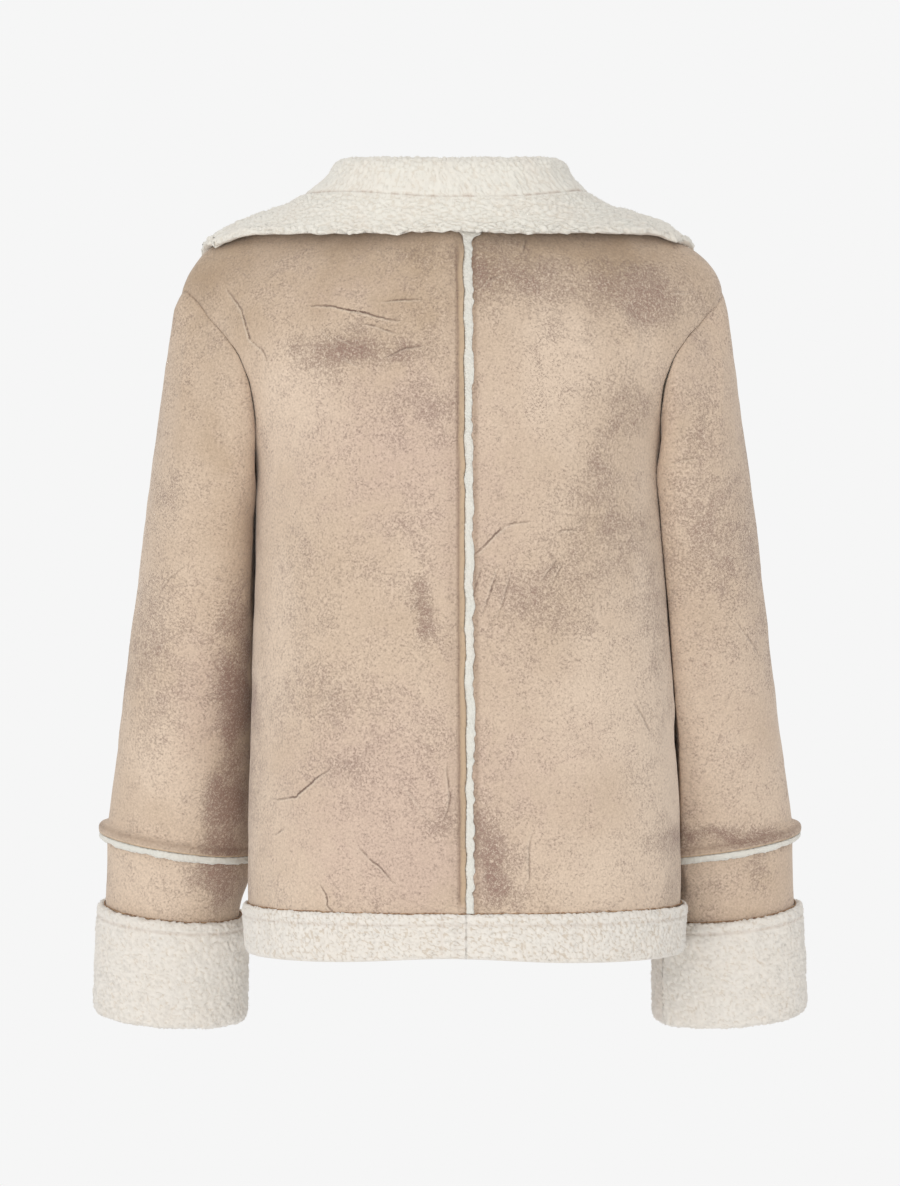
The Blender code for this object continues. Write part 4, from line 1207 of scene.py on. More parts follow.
def suede_material(name, rosy=0.0):
    """Worn faux suede. rosy takes it towards pink."""
    material, tree = new_material(name)
    at, noise = suede_inputs(tree)
    colour = whole_cloth(tree, at, noise, rosy)
    colour, flecks = worn_cloth(tree, at, noise, colour)
    colour, cut, light = cracked_cloth(tree, at, noise, colour)
    colour = add(tree, "Mix", {0: at["raw"], 6: colour, 7: linear(RAW_TAN)}, **COLOURS)
    # the seam value: dirt at the seams, and painted shade
    dirt_and_shade = add(tree, "Math", {0: at["seam"], 1: SEAM_DIRT_AND_SHADE}, **MULTIPLY)
    colour = add(tree, "Mix", {0: dirt_and_shade, 6: colour, 7: linear(SEAM_SHADE)}, **COLOURS)
    height = add(tree, "Math", {0: flecks, 1: -0.35, 2: noise["patchy"]}, **TIMES_PLUS)
    height = add(tree, "Math", {0: noise["nap"], 1: 0.25, 2: height}, **TIMES_PLUS)
    height = add(tree, "Math", {0: cut, 1: -1.6, 2: height}, **TIMES_PLUS)
    height = add(tree, "Math", {0: light, 1: 0.9, 2: height}, **TIMES_PLUS)
    nap = add(tree, "Bump", {"Height": height, **SUEDE_BUMP})
    surface = add(tree, "BsdfPrincipled", {"Base Color": colour, "Normal": nap, **SUEDE_SURFACE})
    add(tree, "OutputMaterial", {"Surface": surface})
    return material


SUEDE = suede_material("napped_faux_suede")
SUEDE_ROSY = suede_material("napped_faux_suede_rosy", rosy=0.2)
print("nodes in the suede:", len(SUEDE.node_tree.nodes))

# %% [markdown]
# ## Sherpa
#
# Light goes a little way into the pile and comes out again, so it has no dark shadows: it is nearly
# white all over. The thin creases between the curls get a warm pink-beige painted shade. The bump
# adds the crimp on the curls, 1 to 3 mm across. The lining is worn flat, and a noise stands for its
# curls and for the painted shade between them.

# %% Sherpa material
SHERPA_SHADE = "#DDD4C8"
# the colour of the collar's seam, and of the painted shade along stitches and past the cuffs' vents
SHERPA_SEAM_AND_SHADE = "#A98D7B"
# features to a metre
WOOL_SCALE, TINT_SCALE, STRAND_SCALE, FLAT_CURL_SCALE = 380, 45, 1100, 210
SHERPA_BUMP = {"Distance": 0.0011, "Strength": 0.6}
SHERPA_SURFACE = {
    "Roughness": 1.0, "Specular IOR Level": 0.1, "Sheen Weight": 0.35, "Sheen Roughness": 0.6,
}


def sherpa_material(name, tops, creases, crease_shade_amount, in_mesh=True):
    """Pile with tops and a painted shade in its creases, of a given strength. in_mesh: it has curls."""
    material, tree = new_material(name)
    where = add(tree, "TexCoord", output="Object")
    wool = {"Vector": where, "Scale": WOOL_SCALE, "Detail": 4, "Roughness": 0.7, "Distortion": 0.6}
    wool = add(tree, "TexNoise", wool)
    tint = add(tree, "TexNoise", {"Vector": where, "Scale": TINT_SCALE, "Detail": 3})
    if in_mesh:
        curl = add(tree, "Attribute", output="Fac", attribute_name="curl")
    else:
        curl = {"Vector": where, "Scale": FLAT_CURL_SCALE, "Detail": 2, "Distortion": 0.6}
        curl = add(tree, "TexNoise", curl)
    shade = add(tree, "MapRange", {0: tint, 1: 0.35, 2: 0.7, 4: 0.35}, **SOFT)
    colour = add(tree, "Mix", {0: shade, 6: linear(tops), 7: linear(SHERPA_SHADE)}, **COLOURS)
    # painted shade in the creases between the curls
    crease_shade = add(tree, "Math", {0: wool, 1: 0.9, 2: curl}, **TIMES_PLUS)
    crease_shade = add(tree, "MapRange", {0: crease_shade, 1: 0.38, 2: 0.85, 3: crease_shade_amount, 4: 0.0}, **SOFT)
    colour = add(tree, "Mix", {0: crease_shade, 6: colour, 7: linear(creases)}, **COLOURS)
    # the seam value: the collar's seam, and painted shade along the stitches, over the hem's seam
    # allowance and past the cuffs' vents
    seam = add(tree, "Attribute", output="Fac", attribute_name="seam")
    colour = add(tree, "Mix", {0: seam, 6: colour, 7: linear(SHERPA_SEAM_AND_SHADE)}, **COLOURS)
    strand = add(tree, "TexNoise", {"Vector": where, "Scale": STRAND_SCALE, "Detail": 2})
    height = add(tree, "Math", {0: strand, 1: 0.4, 2: wool}, **TIMES_PLUS)
    height = add(tree, "Math", {0: curl, 1: 0.3, 2: height}, **TIMES_PLUS)
    crimp = add(tree, "Bump", {"Height": height, **SHERPA_BUMP})
    surface = add(tree, "BsdfPrincipled", {"Base Color": colour, "Normal": crimp, **SHERPA_SURFACE})
    add(tree, "OutputMaterial", {"Surface": surface})
    return material


print("crimp and strands in mm:", millimetres(WOOL_SCALE), "and", millimetres(STRAND_SCALE))

# %% [markdown]
# ## Four kinds of pile
#
# The collar's pile is fluffed up, so the painted shade in its creases is faint. The turned-up cuffs
# and hem get more of it. Edges that were cut through are whiter, and the lining is a little yellow
# from wear.

# %% Sherpa materials
SHERPA_TOP, SHERPA_CREASE_SHADE = "#E0DCD2", "#B8A792"
SHERPA = sherpa_material("sherpa_pile", SHERPA_TOP, SHERPA_CREASE_SHADE, 0.30)
SHERPA_TURNED = sherpa_material("sherpa_pile_turned_up", "#DFD9D0", SHERPA_CREASE_SHADE, 0.62)
SHERPA_WHITE = sherpa_material("sherpa_cut_edge", "#D6D4CB", "#B3A999", 0.55)
LINING = sherpa_material("sherpa_lining", "#DED7CC", "#B8A793", 0.55, in_mesh=False)
print("nodes in the pile:", len(SHERPA.node_tree.nodes))

# %% [markdown]
# ## The raw edge
#
# The pile is knitted on a brown backing. Where the cloth is cut and turned up, that backing shows
# as a thin brown line with lighter threads in it.

# %% Raw edge material
KNIT_DARK, KNIT_LIGHT = "#82614A", "#B59675"
THREAD_SCALE = 500
KNIT_EDGE, tree = new_material("raw_knit_edge")
where = add(tree, "TexCoord", output="Object")
thread = add(tree, "TexNoise", {"Vector": where, "Scale": THREAD_SCALE})
thread = add(tree, "MapRange", {0: thread, 1: 0.35, 2: 0.65})
colour = add(tree, "Mix", {0: thread, 6: linear(KNIT_DARK), 7: linear(KNIT_LIGHT)}, **COLOURS)
surface = add(tree, "BsdfPrincipled", {"Base Color": colour, "Roughness": 0.95})
add(tree, "OutputMaterial", {"Surface": surface})
print("materials:", [material.name for material in bpy.data.materials])


# %% Attaching a piece and hiding its solid
def declare(obj, node, materials, cut=None, rests_on=()):
    for material in materials:
        obj.data.materials.append(material)
    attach(obj, "root")
    if node:
        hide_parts(node)
    if cut:
        width, length, area = cut
        area = min(area, width * length)
        list(rests_on)
        print(f"{obj.name}: cut {width * 1000:.0f} x {length * 1000:.0f} mm")


print("solids that the pieces stand for:", len(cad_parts))

# %% [markdown]
# ## A wall of suede
#
# The suede side is moved in and out by a relief, and the sherpa behind it gets shallow curls. The
# marks are read at places moved by a soft noise, so that a worn place is ragged and not an oval.

# %% A wall of suede
MARK_SHIFT = 0.007
SHOULDER_TOP, SHOULDER_RISE, SHOULDER_WIDTH = (-0.224, 0.0, -0.045), 0.0042, 0.027
LINING_CURL = 0.0055
LINING_CURL_HEIGHT = 0.0012
PILE_UNDER = 0.0006


def suede_values(grid, seam, raw, curl):
    """What the suede material reads, on the layer that shows and on the hidden one."""
    none = np.zeros(grid.shape[:2])
    distance, depth = crack_lines(grid)
    shifted = grid + MARK_SHIFT * stack(lumps(grid, 0.02, 21), 0.0, lumps(grid, 0.02, 22))
    return {
        "rubbed": (patches(shifted, RUBBED), none),
        "pale": (patches(shifted, PALE_AND_PAINTED_LIGHT), none),
        "pink": (patches(shifted, PINK), none),
        "crack_distance": (distance, none + NO_CRACK),
        "crack_depth": (depth, none),
        "seam": (np.clip(seam, 0, 1), none),
        "raw": (raw + none, none),
        "curl": (none, curl),
    }


def shoulder_hill(points):
    """The right shoulder stands up a little more than the left one."""
    away = (points - SHOULDER_TOP) * (1, 0.5, 1)
    return SHOULDER_RISE * np.exp(-((away / SHOULDER_WIDTH) ** 2).sum(-1))


def suede_wall(name, grid, relief, seam, raw, ring, wall=WALL):
    """A panel: suede that shows, and sherpa behind it."""
    relief = relief + shoulder_hill(grid)
    normals = normals_of(grid, ring)
    outer = grid + normals * relief[..., None]
    curl = curls(grid, LINING_CURL, seed=3)
    depth = wall - PILE_UNDER + LINING_CURL_HEIGHT * (curl - 0.5)
    inner = outer - normals * np.broadcast_to(depth, grid.shape[:2])[..., None]
    return wall_mesh(name, outer, inner, ring, suede_values(grid, seam, raw, curl))


print("the right shoulder stands up by", round(SHOULDER_RISE * 1000, 1), "mm")

# %% [markdown]
# ## The lap of the back
#
# The left back laps over the right one: its edge is folded out a little and stitched down along a
# groove 5 mm from the edge. The side seams and the armholes are plain and leave a soft valley.
# The front is hidden in the photo, so its two panels only meet down the middle.

# %% The lap of the back
SIDES = ((1, "left"), (-1, "right"))
EDGE_WAVE, WAVE_LENGTH, WAVE_SEED = 0.0010, 0.011, 51  # the strip beside it waves in the same way
LAP_START, LAP_END = (-0.893, 0.03), (0.70, 0.06)  # the t where it fades in and out, and over how much
LAP_LIFT, LAP_FLAT, LAP_WIDTH = 0.0026, 0.003, 0.009
GROOVE_AT, GROOVE_WIDTH, GROOVE_DEPTH = 0.0052, 0.0013, 0.0015
LAP_RAW = 0.0038
SOFT_WAVES = ((0.0007, 0.045, 31), (0.00045, 0.018, 32), (0.0002, 0.008, 33))  # height, size, seed


def soft_waves(grid):
    """The slight unevenness of a thick bonded cloth."""
    return sum(height * lumps(grid, size, seed) for height, size, seed in SOFT_WAVES)


def lap(grid, t, at_centre):
    """What the lap adds: the wave of its edge, its relief, its groove's dirt and painted shade, and its
    raw edge.
    """
    (low, rise), (high, fall) = LAP_START, LAP_END
    lapped = ease((t - low) / rise) * (1 - ease((t - high) / fall))
    groove = bump(at_centre - GROOVE_AT, GROOVE_WIDTH)
    wave = lapped * EDGE_WAVE * lumps(grid, WAVE_LENGTH, WAVE_SEED) * (1 - ease(at_centre / 0.008))
    lift = LAP_LIFT * (1 - ease((at_centre - LAP_FLAT) / (LAP_WIDTH - LAP_FLAT)))
    # the groove and a soft band beside it are darkened by dirt and by painted shade
    dirt_and_shade = groove + 0.16 * bump(at_centre - GROOVE_AT - 0.004, 0.005)
    raw = 1 - ease((at_centre - LAP_RAW) / 0.0010)
    return wave, lapped * (lift - GROOVE_DEPTH * groove), lapped * dirt_and_shade, lapped * raw


print("the lap is", LAP_WIDTH * 1000, "mm wide, stitched", GROOVE_AT * 1000, "mm from its edge")

# %% [markdown]
# ## The four panels
#
# The seams' dirt and rolled edges follow from how far a point is from them. So do the lap's painted
# shade and a painted shadow on the right back beside the strip of pile. A band of painted shade lies
# under the collar. The back has twice as many rows and columns as the front, because it is the side
# that is looked at.

# %% Body panels
PANEL_DENSITY = {"back": (12, 156), "front": (6, 72)}  # points between two rows, and columns
SEAM_ROLL = 0.0005
SIDE_DIRT, ARMHOLE_DIRT = 0.06, 0.30
UNDER_COLLAR_SHADE_T = NECK_T["back"] + 0.05
for face in ("back", "front"):
    for side, word in SIDES:
        per_row, columns = PANEL_DENSITY[face]
        grid = panel_grid(face, side, per_row, columns)
        t = panel_rows(face, per_row)[:, None]
        start = np.linalg.norm(grid - grid[:, :1], axis=-1)
        end = np.linalg.norm(grid - grid[:, -1:], axis=-1)
        at_centre, at_side = (start, end) if (face == "back") == (side > 0) else (end, start)
        relief = soft_waves(grid) - press_folds(grid) - SEAM_ROLL * bump(at_side, 0.0026)
        seam = (SIDE_DIRT + ARMHOLE_DIRT * ease(t / 0.12)) * bump(at_side, 0.0014)
        raw = 0.0
        if face == "front":
            relief -= SEAM_ROLL * bump(at_centre, 0.0022)
            seam = seam + 0.5 * bump(at_centre, 0.0016)
        elif side > 0:
            wave, lap_relief, lap_dirt_and_shade, raw = lap(grid, t, at_centre)
            grid[..., 0] -= wave
            relief += lap_relief
            seam = seam + lap_dirt_and_shade
        else:
            # painted shadow on the right back, beside the strip of pile
            seam = seam + 0.55 * bump(at_centre - 0.0092, 0.0022)
        if face == "back":
            # a band of painted shade under the collar
            seam = seam + 0.22 * bump(t - UNDER_COLLAR_SHADE_T, 0.09)
        panel = suede_wall(f"suede_{face}_{word}", grid, relief, seam, raw, False)
        cloth = (SUEDE, LINING, SUEDE)
        declare(panel, f"{face}_{word}", cloth, cut_of(grid), ["sherpa_collar_stand"])

# %% [markdown]
# ## Sleeves
#
# The sleeve's raw edge was left thick: it rolls out in a soft ridge over the band below. Its
# rings are close together there and at the armhole. The right sleeve is of a rosier cloth.

# %% A sleeve
SLEEVE_PER_ROW = 6
ROLL_HEIGHT = 0.0085
ROLL_TOP = 0.45  # where the ridge is fullest, as a share of its height
# a line of painted shade on the ridge, this far above the raw edge
ROLL_SHADE_LINE = 0.0065
RIM = 0.0016  # how thick the cloth is at its raw edge
SLEEVE_CLOTH = {1: SUEDE, -1: SUEDE_ROSY}
SLEEVE_S = np.concatenate(
    [np.linspace(1, 0.955, 19)[:-1], np.linspace(0.955, 0.03, 124)[:-1], np.linspace(0.03, 0, 10)]
)


def make_sleeve(side, word):
    """The sleeve's cloth, from its raw edge up to the armhole."""
    grid = arm_surface(side, SLEEVE_S, SLEEVE_PER_ROW)
    angles = 2 * math.pi * np.arange(grid.shape[1]) / grid.shape[1]
    from_edge = along_rows(grid)
    from_armhole = np.linalg.norm(grid - grid[-1:], axis=-1)
    roll = np.clip(1 - (from_edge / ROLL_HEIGHT - ROLL_TOP) ** 2 / 0.42, 0, 1) ** 0.5
    roll = np.where(from_edge < ROLL_TOP * ROLL_HEIGHT, 0.72 + 0.28 * roll, roll)
    relief = lip_flare(angles)[None] * roll * (1 - ease((from_edge - ROLL_HEIGHT) / 0.003))
    relief += soft_waves(grid) - press_folds(grid) - SEAM_ROLL * bump(from_armhole, 0.003)
    # The seam value is dirt at the armhole. Over the rolled ridge it is painted shade, from 1.3 mm above
    # the raw edge, darkest along a line 6.5 mm above it.
    seam = 0.22 * bump(from_armhole, 0.0016) + 0.25 * bump(from_edge - ROLL_SHADE_LINE, 0.0014)
    seam = seam + 0.42 * ease((from_edge - 0.0013) / 0.0008) * (1 - ease((from_edge - 0.0060) / 0.0035))
    raw = 1 - ease((from_edge - 0.0008) / 0.0008)
    wall = RIM + (WALL - RIM) * ease(from_edge / ROLL_HEIGHT)
    sleeve = suede_wall(f"suede_sleeve_{word}", grid, relief, seam, raw, True, wall)
    cloth = (SLEEVE_CLOTH[side], LINING, KNIT_EDGE)
    declare(sleeve, f"sleeve_{word}", cloth, cut_of(grid, True), [f"suede_back_{word}"])


print("rings in a sleeve:", len(SLEEVE_S))

# %% [markdown]
# ## Sleeve bands
#
# The band comes out from under the sleeve's raw edge and goes on down into the turned-up cuff.
# It is a plain tube of the same cloth, a third of a millimetre further in.

# %% Sleeves and bands
BAND_S = np.linspace(2.0, 1.003, 46)
BAND_IN = 0.0003


def make_band(side, word):
    """The band under the sleeve's raw edge."""
    grid = arm_surface(side, BAND_S, SLEEVE_PER_ROW)
    from_top = np.linalg.norm(grid - grid[-1:], axis=-1)
    relief = 0.5 * soft_waves(grid) - BAND_IN
    # painted shade just under the sleeve's rolled edge and its pile
    seam = 0.15 * bump(from_top - 0.006, 0.003)
    band = suede_wall(f"suede_band_{word}", grid, relief, seam, 0.0, True)
    cloth = (SLEEVE_CLOTH[side], LINING, SUEDE)
    cut = cut_of(grid, True)
    declare(band, f"sleeve_band_{word}", cloth, cut, [f"suede_sleeve_{word}"])


for side, word in SIDES:
    make_sleeve(side, word)
    make_band(side, word)

# %% [markdown]
# ## Pile pieces swept along a line
#
# The cuffs, the hem and the lapped edges are all made the same way: a closed section, rounded like
# a fat fold of cloth, is swept along the piece, and curls are pushed out of the side that shows,
# where its points are closer together. The side that lies on the suede stays flat.


# %% Sections and sweeps
def round_section(corners, scale, fine, coarse, shown_from):
    """A smooth closed curve through corners, with close points where it stands off the cloth."""
    corners = np.array(corners, float) * (scale, 1)
    u = np.linspace(0, 1, 24, endpoint=False)[:, None]
    pieces = []
    for k in range(len(corners)):
        a, b, c, d = (corners[(k + n) % len(corners)] for n in (-1, 0, 1, 2))
        bend, twist = 2 * a - 5 * b + 4 * c - d, 3 * b - a - 3 * c + d
        pieces.append(b + u * ((c - a) + u * (bend + u * twist)) / 2)
    line = np.concatenate([*pieces, pieces[0][:1]])
    step = np.where(line[1:, 1] > shown_from, fine, coarse)
    cost = np.concatenate([[0], np.cumsum(np.linalg.norm(np.diff(line, axis=0), axis=1) / step)])
    at = np.linspace(0, cost[-1], int(cost[-1]) // 2 * 2, endpoint=False)
    return np.stack([np.interp(at, cost, line[:, k]) for k in range(2)], axis=1) / (scale, 1)


def off_surface(surface, place, angles, off):
    """Points of a surface, moved off it."""
    small = 1e-4  # a step that is short enough to find the slope
    across = surface(angles + small, place) - surface(angles - small, place)
    up = surface(angles, place + small) - surface(angles, place - small)
    up = up * np.sign(up[..., 2:])
    return surface(angles, place) + unit(np.cross(up, across)) * off[..., None]


def loop_normals(loops, ring):
    """Normals of swept sections, pointing out of the solid."""
    turn = np.roll(loops, -1, 1) - np.roll(loops, 1, 1)
    along = np.roll(loops, -1, 0) - np.roll(loops, 1, 0) if ring else np.gradient(loops, axis=0)
    normals = unit(np.cross(turn, along))
    outward = ((loops - loops.mean(1, keepdims=True)) * normals).sum() > 0
    return normals if outward else -normals


unit_square = [(0, 0), (1, 0), (1, 1), (0, 1)]
print("points on a rounded square:", len(round_section(unit_square, 1, 0.1, 0.2, 0.5)))

# %% [markdown]
# ## Pushing the curls out
#
# The curls are read at slightly moved places, so that no two are alike, and two softer noises are
# added, one finer and one broader than a curl. At a cut end the last few loops get smaller.


# %% Pushing the curls out
def fluff(points, size, seed):
    """How far curls push the pile out, from -1 to 1, and how high on its curl each point is."""
    moves = (lumps(points, size * 1.7, seed + k) for k in range(3))
    shifted = points + 0.35 * size * stack(*moves)
    curl = curls(shifted, size, seed=seed)
    small = lumps(points, size * 0.45, seed=seed + 5)
    wide = lumps(points, size * 2.8, seed=seed + 9)
    return curl - 0.6 + 0.35 * small + 0.45 * wide, np.clip(curl + 0.25 * small, 0, 1)


SHOWN_FROM, SHOWN_OVER = 0.0010, 0.0016  # curls start this far off the cloth
HIDDEN_CURL = 0.3


def sweep(surface, section, angles, curl_size, curl_height, thin_ends, end_share):
    """Loops of points with curls on the side that shows, and how high each is on its curl."""
    place = np.repeat(section[None, :, 0], len(angles), axis=0)
    off = np.repeat(section[None, :, 1], len(angles), axis=0)
    from_end = np.minimum(np.arange(len(angles)), np.arange(len(angles))[::-1])
    rounded = np.sqrt(1 - (1 - np.clip(from_end / thin_ends, 0, 1)) ** 2)
    share = end_share + (1 - end_share) * rounded
    off = off.mean() + (off - off.mean()) * share[:, None]
    loops = off_surface(surface, place, np.repeat(angles[:, None], len(section), axis=1), off)
    push, curl = fluff(loops, curl_size, 40)
    shown = ease((off - SHOWN_FROM) / SHOWN_OVER)
    loops = loops + loop_normals(loops, False) * (shown * curl_height * push)[..., None]
    return loops, curl * shown + (1 - shown) * HIDDEN_CURL


def sink(loops, depth, where):
    """Presses the pile in along a line of stitches."""
    return loops - loop_normals(loops, False) * (depth * where)[..., None]


print("curls start", SHOWN_FROM * 1000, "mm off the cloth")

# %% [markdown]
# ## Cuffs
#
# The cuff is the lining turned up over the band, so its pile is outside. It is open on the side
# towards the body, where both ends are rounded and full. A row of stitches 9 mm under its top edge
# pulls the pile in, with a painted shade along it, and the part past the vent gets a painted shade
# too.

# %% Cuffs
tips = []  # where pile shows: the piece, points and which way is out, for the loose fibres
# how far down the arm, and how far off it
CUFF = (
    (1.4020, 0.0006), (1.3950, 0.0036), (1.4030, 0.0062), (1.4400, 0.0074), (1.5700, 0.0078),
    (1.7000, 0.0078), (1.8400, 0.0078), (1.9600, 0.0074), (2.0100, 0.0056), (2.0280, 0.0010),
    (2.0220, -0.0040), (2.0050, -0.0050), (2.0050, 0.0006), (1.8500, 0.0006), (1.6500, 0.0006),
    (1.5000, 0.0006),
)
CUFF_LOOPS = 262
VENT_ANGLE = {1: 212, -1: 153}  # in degrees, where the cuff is open
VENT_HALF_ANGLE = 0.12
ARM_SCALE = 0.147  # metres down the arm for each step of s
STITCH_DROP = 0.0092
# painted shade on the part away from the camera: how far from the vent it starts, over what, how much
FAR_PAINTED_SHADE = {1: (0.034, 0.04, 0.02), -1: (0.0, 0.003, 0.20)}


def arm_place(side):
    """The arm's surface, with its angle turned so that both sides go the same way round."""
    def surface(angle, s):
        return arm_ring(side, -side * angle, s)

    return surface


for side, word in SIDES:
    ends = VENT_ANGLE[side] + VENT_HALF_ANGLE, VENT_ANGLE[side] + 360 - VENT_HALF_ANGLE
    angles = -side * np.radians(np.linspace(*ends, CUFF_LOOPS))[::-side]
    section = round_section(CUFF, ARM_SCALE, 0.00135, 0.004, 0.003)
    surface = arm_place(side)
    loops, curl = sweep(surface, section, angles, 0.0040, 0.0013, thin_ends=3, end_share=0.88)
    drop = np.repeat((section[None, :, 0] - CUFF[1][0]) * ARM_SCALE, len(angles), axis=0)
    stitches = bump(drop - STITCH_DROP, 0.0010) * (section[None, :, 1] > 0.003)
    loops = sink(loops, 0.0011, stitches)
    start, fade, shade = FAR_PAINTED_SHADE[side]
    far_edge = (loops[0].mean(0) + loops[-1].mean(0))[0] / 2 + start
    far = ease(side * (far_edge - loops[..., 0]) / fade) * (loops[..., 1] > loops[..., 1].mean())
    # painted shade along the stitches and on the part past the vent
    values = {"curl": 1 - 0.85 * (1 - curl), "seam": 0.3 * stitches + shade * far}
    cuff = tube_mesh(f"sherpa_cuff_{word}", loops, False, values)
    shown = np.broadcast_to(section[None, :, 1] > 0.002, loops.shape[:2])
    tips.append((f"cuff_{word}", loops[shown], loop_normals(loops, False)[shown]))
    flat = arm_ring(side, np.linspace(0, 2 * math.pi, 60)[None], np.linspace(2, 1.4, 9)[:, None])
    rests = [f"suede_band_{word}"]
    declare(cuff, f"cuff_{word}", (SHERPA_TURNED,), cut_of(flat), rests)
print("corners in the cuff's section:", len(section))

# %% [markdown]
# ## The lapped edges of the sleeves
#
# Under the sleeve's raw edge its own pile shows: a strip 4 to 5 mm wide with a bumpy lower edge.
# It is whiter than the rest, because it was cut through and never pressed.

# %% Pile under the sleeve's edge
LAP_TOP_S, LAP_MIDDLE_S = 1.003, 1.02
LAP_LOOPS = 420
# how far down the arm, and how high as a share of the edge above it
LAP_PILE = (
    (LAP_TOP_S, 0.02), (LAP_TOP_S, 0.72), (1.0130, 0.84), (1.0230, 0.74), (1.0310, 0.40), (1.0340, 0.02),
    (LAP_MIDDLE_S, 0.0),
)
for side, word in SIDES:
    angles = np.linspace(0, 2 * math.pi, LAP_LOOPS, endpoint=False)
    section = round_section(np.array(LAP_PILE) * (1, LIP_FLARE), ARM_SCALE, 0.0009, 0.0012, 0.002)
    section = section / (1, LIP_FLARE)
    angle_grid = np.repeat(angles[:, None], len(section), axis=1)
    flat = arm_ring(side, angles, np.full_like(angles, LAP_MIDDLE_S))
    ragged = 1 + 0.13 * lumps(flat, 0.009, 11) + 0.12 * lumps(flat, 0.004, 12)
    place = LAP_TOP_S + (section[None, :, 0] - LAP_TOP_S) * ragged[:, None]
    share = np.repeat(section[None, :, 1], len(angles), axis=0)
    loops = off_surface(arm_place(side), place, angle_grid, 0.0003 + lip_flare(angle_grid) * share)
    push, curl = fluff(loops, 0.0034, 60)
    loops = loops + loop_normals(loops, True) * (0.0007 * push * ease(share / 0.3))[..., None]
    pile = tube_mesh(f"sherpa_lap_{word}", loops, True, {"curl": 0.4 + 0.6 * curl, "seam": 0 * curl})
    declare(pile, f"lap_pile_{word}", (SHERPA_WHITE,))
print("the edge's pile is", round((LAP_PILE[5][0] - LAP_TOP_S) * ARM_SCALE * 1000, 1), "mm wide")

# %% [markdown]
# ## The hem
#
# The hem is turned up like the cuffs, lower and flatter, in one piece for each panel. It rides up
# a little at the centre back, where the lap is thick, and stands out at both sides. Beside the
# centre seam the pile sinks in over the seam allowance.

# %% Hem
# t on the body, and how far off it
HEM = (
    (-0.8980, 0.0003), (-0.8960, 0.0026), (-0.9050, 0.0040), (-0.9300, 0.0045), (-0.9570, 0.0046),
    (-0.9840, 0.0044), (-0.9960, 0.0028), (-1.0000, -0.0010), (-0.9960, -0.0044), (-0.9850, -0.0050),
    (-0.9850, 0.0003), (-0.9400, 0.0003),
)
HEM_LOOPS = 210
HEM_GAP = 0.00004 / 0.182  # the angle of half the gap between two of its pieces
HEM_RISE, HEM_RISE_WIDTH = 0.0052, 0.075
HEM_FLARE = {1: 0.0030, -1: 0.0018}
ALLOWANCE_X, ALLOWANCE_WIDTH = (0.0066, -0.0050), 0.0012
quarter = math.pi / 2
back_middle = float(angle_at(centre_x("back", -1.0), -1.0))
HEM_SPANS = {
    "hem_back_left": (back_middle, quarter),
    "hem_front_left": (quarter, 2 * quarter),
    "hem_front_right": (2 * quarter, 3 * quarter),
    "hem_back_right": (3 * quarter, 4 * quarter + back_middle),
}
for node, (start, end) in HEM_SPANS.items():
    section = round_section(HEM, BODY_DROP, 0.0013, 0.003, 0.002)
    angles = np.linspace(start + HEM_GAP, end - HEM_GAP, HEM_LOOPS)
    loops, curl = sweep(body_surface, section, angles, 0.0042, 0.0011, thin_ends=3, end_share=0.8)
    drop = np.repeat((HEM[1][0] - section[None, :, 0]) * BODY_DROP, len(angles), axis=0)
    at_back = bump(loops[..., 0], HEM_RISE_WIDTH) * (loops[..., 1] > 0)
    loops[..., 2] += HEM_RISE * at_back * ease(drop / 0.035)
    at_side = ease((np.abs(loops[..., 0]) - 0.165) / 0.02)
    flare = np.where(loops[..., 0] > 0, HEM_FLARE[1], -HEM_FLARE[-1])
    loops[..., 0] += flare * at_side * bump(drop - 0.003, 0.010)
    seen = section[None, :, 1] > 0.003
    stitches = bump(drop - STITCH_DROP, 0.0010) * seen
    loops = sink(loops, 0.0008, stitches)
    allowance = seen * sum(bump(loops[..., 0] - x, ALLOWANCE_WIDTH) for x in ALLOWANCE_X)
    loops = sink(loops, 0.0006, allowance)
    # painted shade along the stitches and over the seam allowance, where the pile is sunk
    values = {"curl": curl, "seam": 0.2 * stitches + 0.15 * allowance}
    hem = tube_mesh(f"sherpa_{node}", loops, False, values)
    shown = np.broadcast_to(section[None, :, 1] > 0.002, loops.shape[:2])
    tips.append(("hem", loops[shown], loop_normals(loops, False)[shown]))
    flat = body_surface(np.linspace(start, end, 60)[None], np.linspace(-1, -0.897, 6)[:, None])
    rests = ["suede_" + node.removeprefix("hem_")]
    declare(hem, node, (SHERPA_TURNED,), cut_of(flat), rests)
print("corners in the hem's section:", len(section))

# %% [markdown]
# ## Raw edges
#
# At the top of each cuff and of the hem the knitted back of the pile ends in a thin brown line.
# It is a cord 1 mm thick that waves a little, as an edge cut with shears does.


# %% Raw edges
def cord(name, path, outward, radius, ring):
    """A thin round edge along a path."""
    along = unit(np.roll(path, -1, 0) - np.roll(path, 1, 0) if ring else np.gradient(path, axis=0))
    across = unit(np.cross(along, outward))
    turns = np.linspace(0, 2 * math.pi, 6, endpoint=False)[None, :, None]
    around = np.cos(turns) * outward[:, None] + np.sin(turns) * across[:, None]
    loops = path[:, None] + radius * around
    if not ring:
        for end in (0, -1):
            loops[end] = path[end] + (loops[end] - path[end]) * 0.3
    return tube_mesh(name, loops, ring, {"seam": np.zeros(loops.shape[:2])})


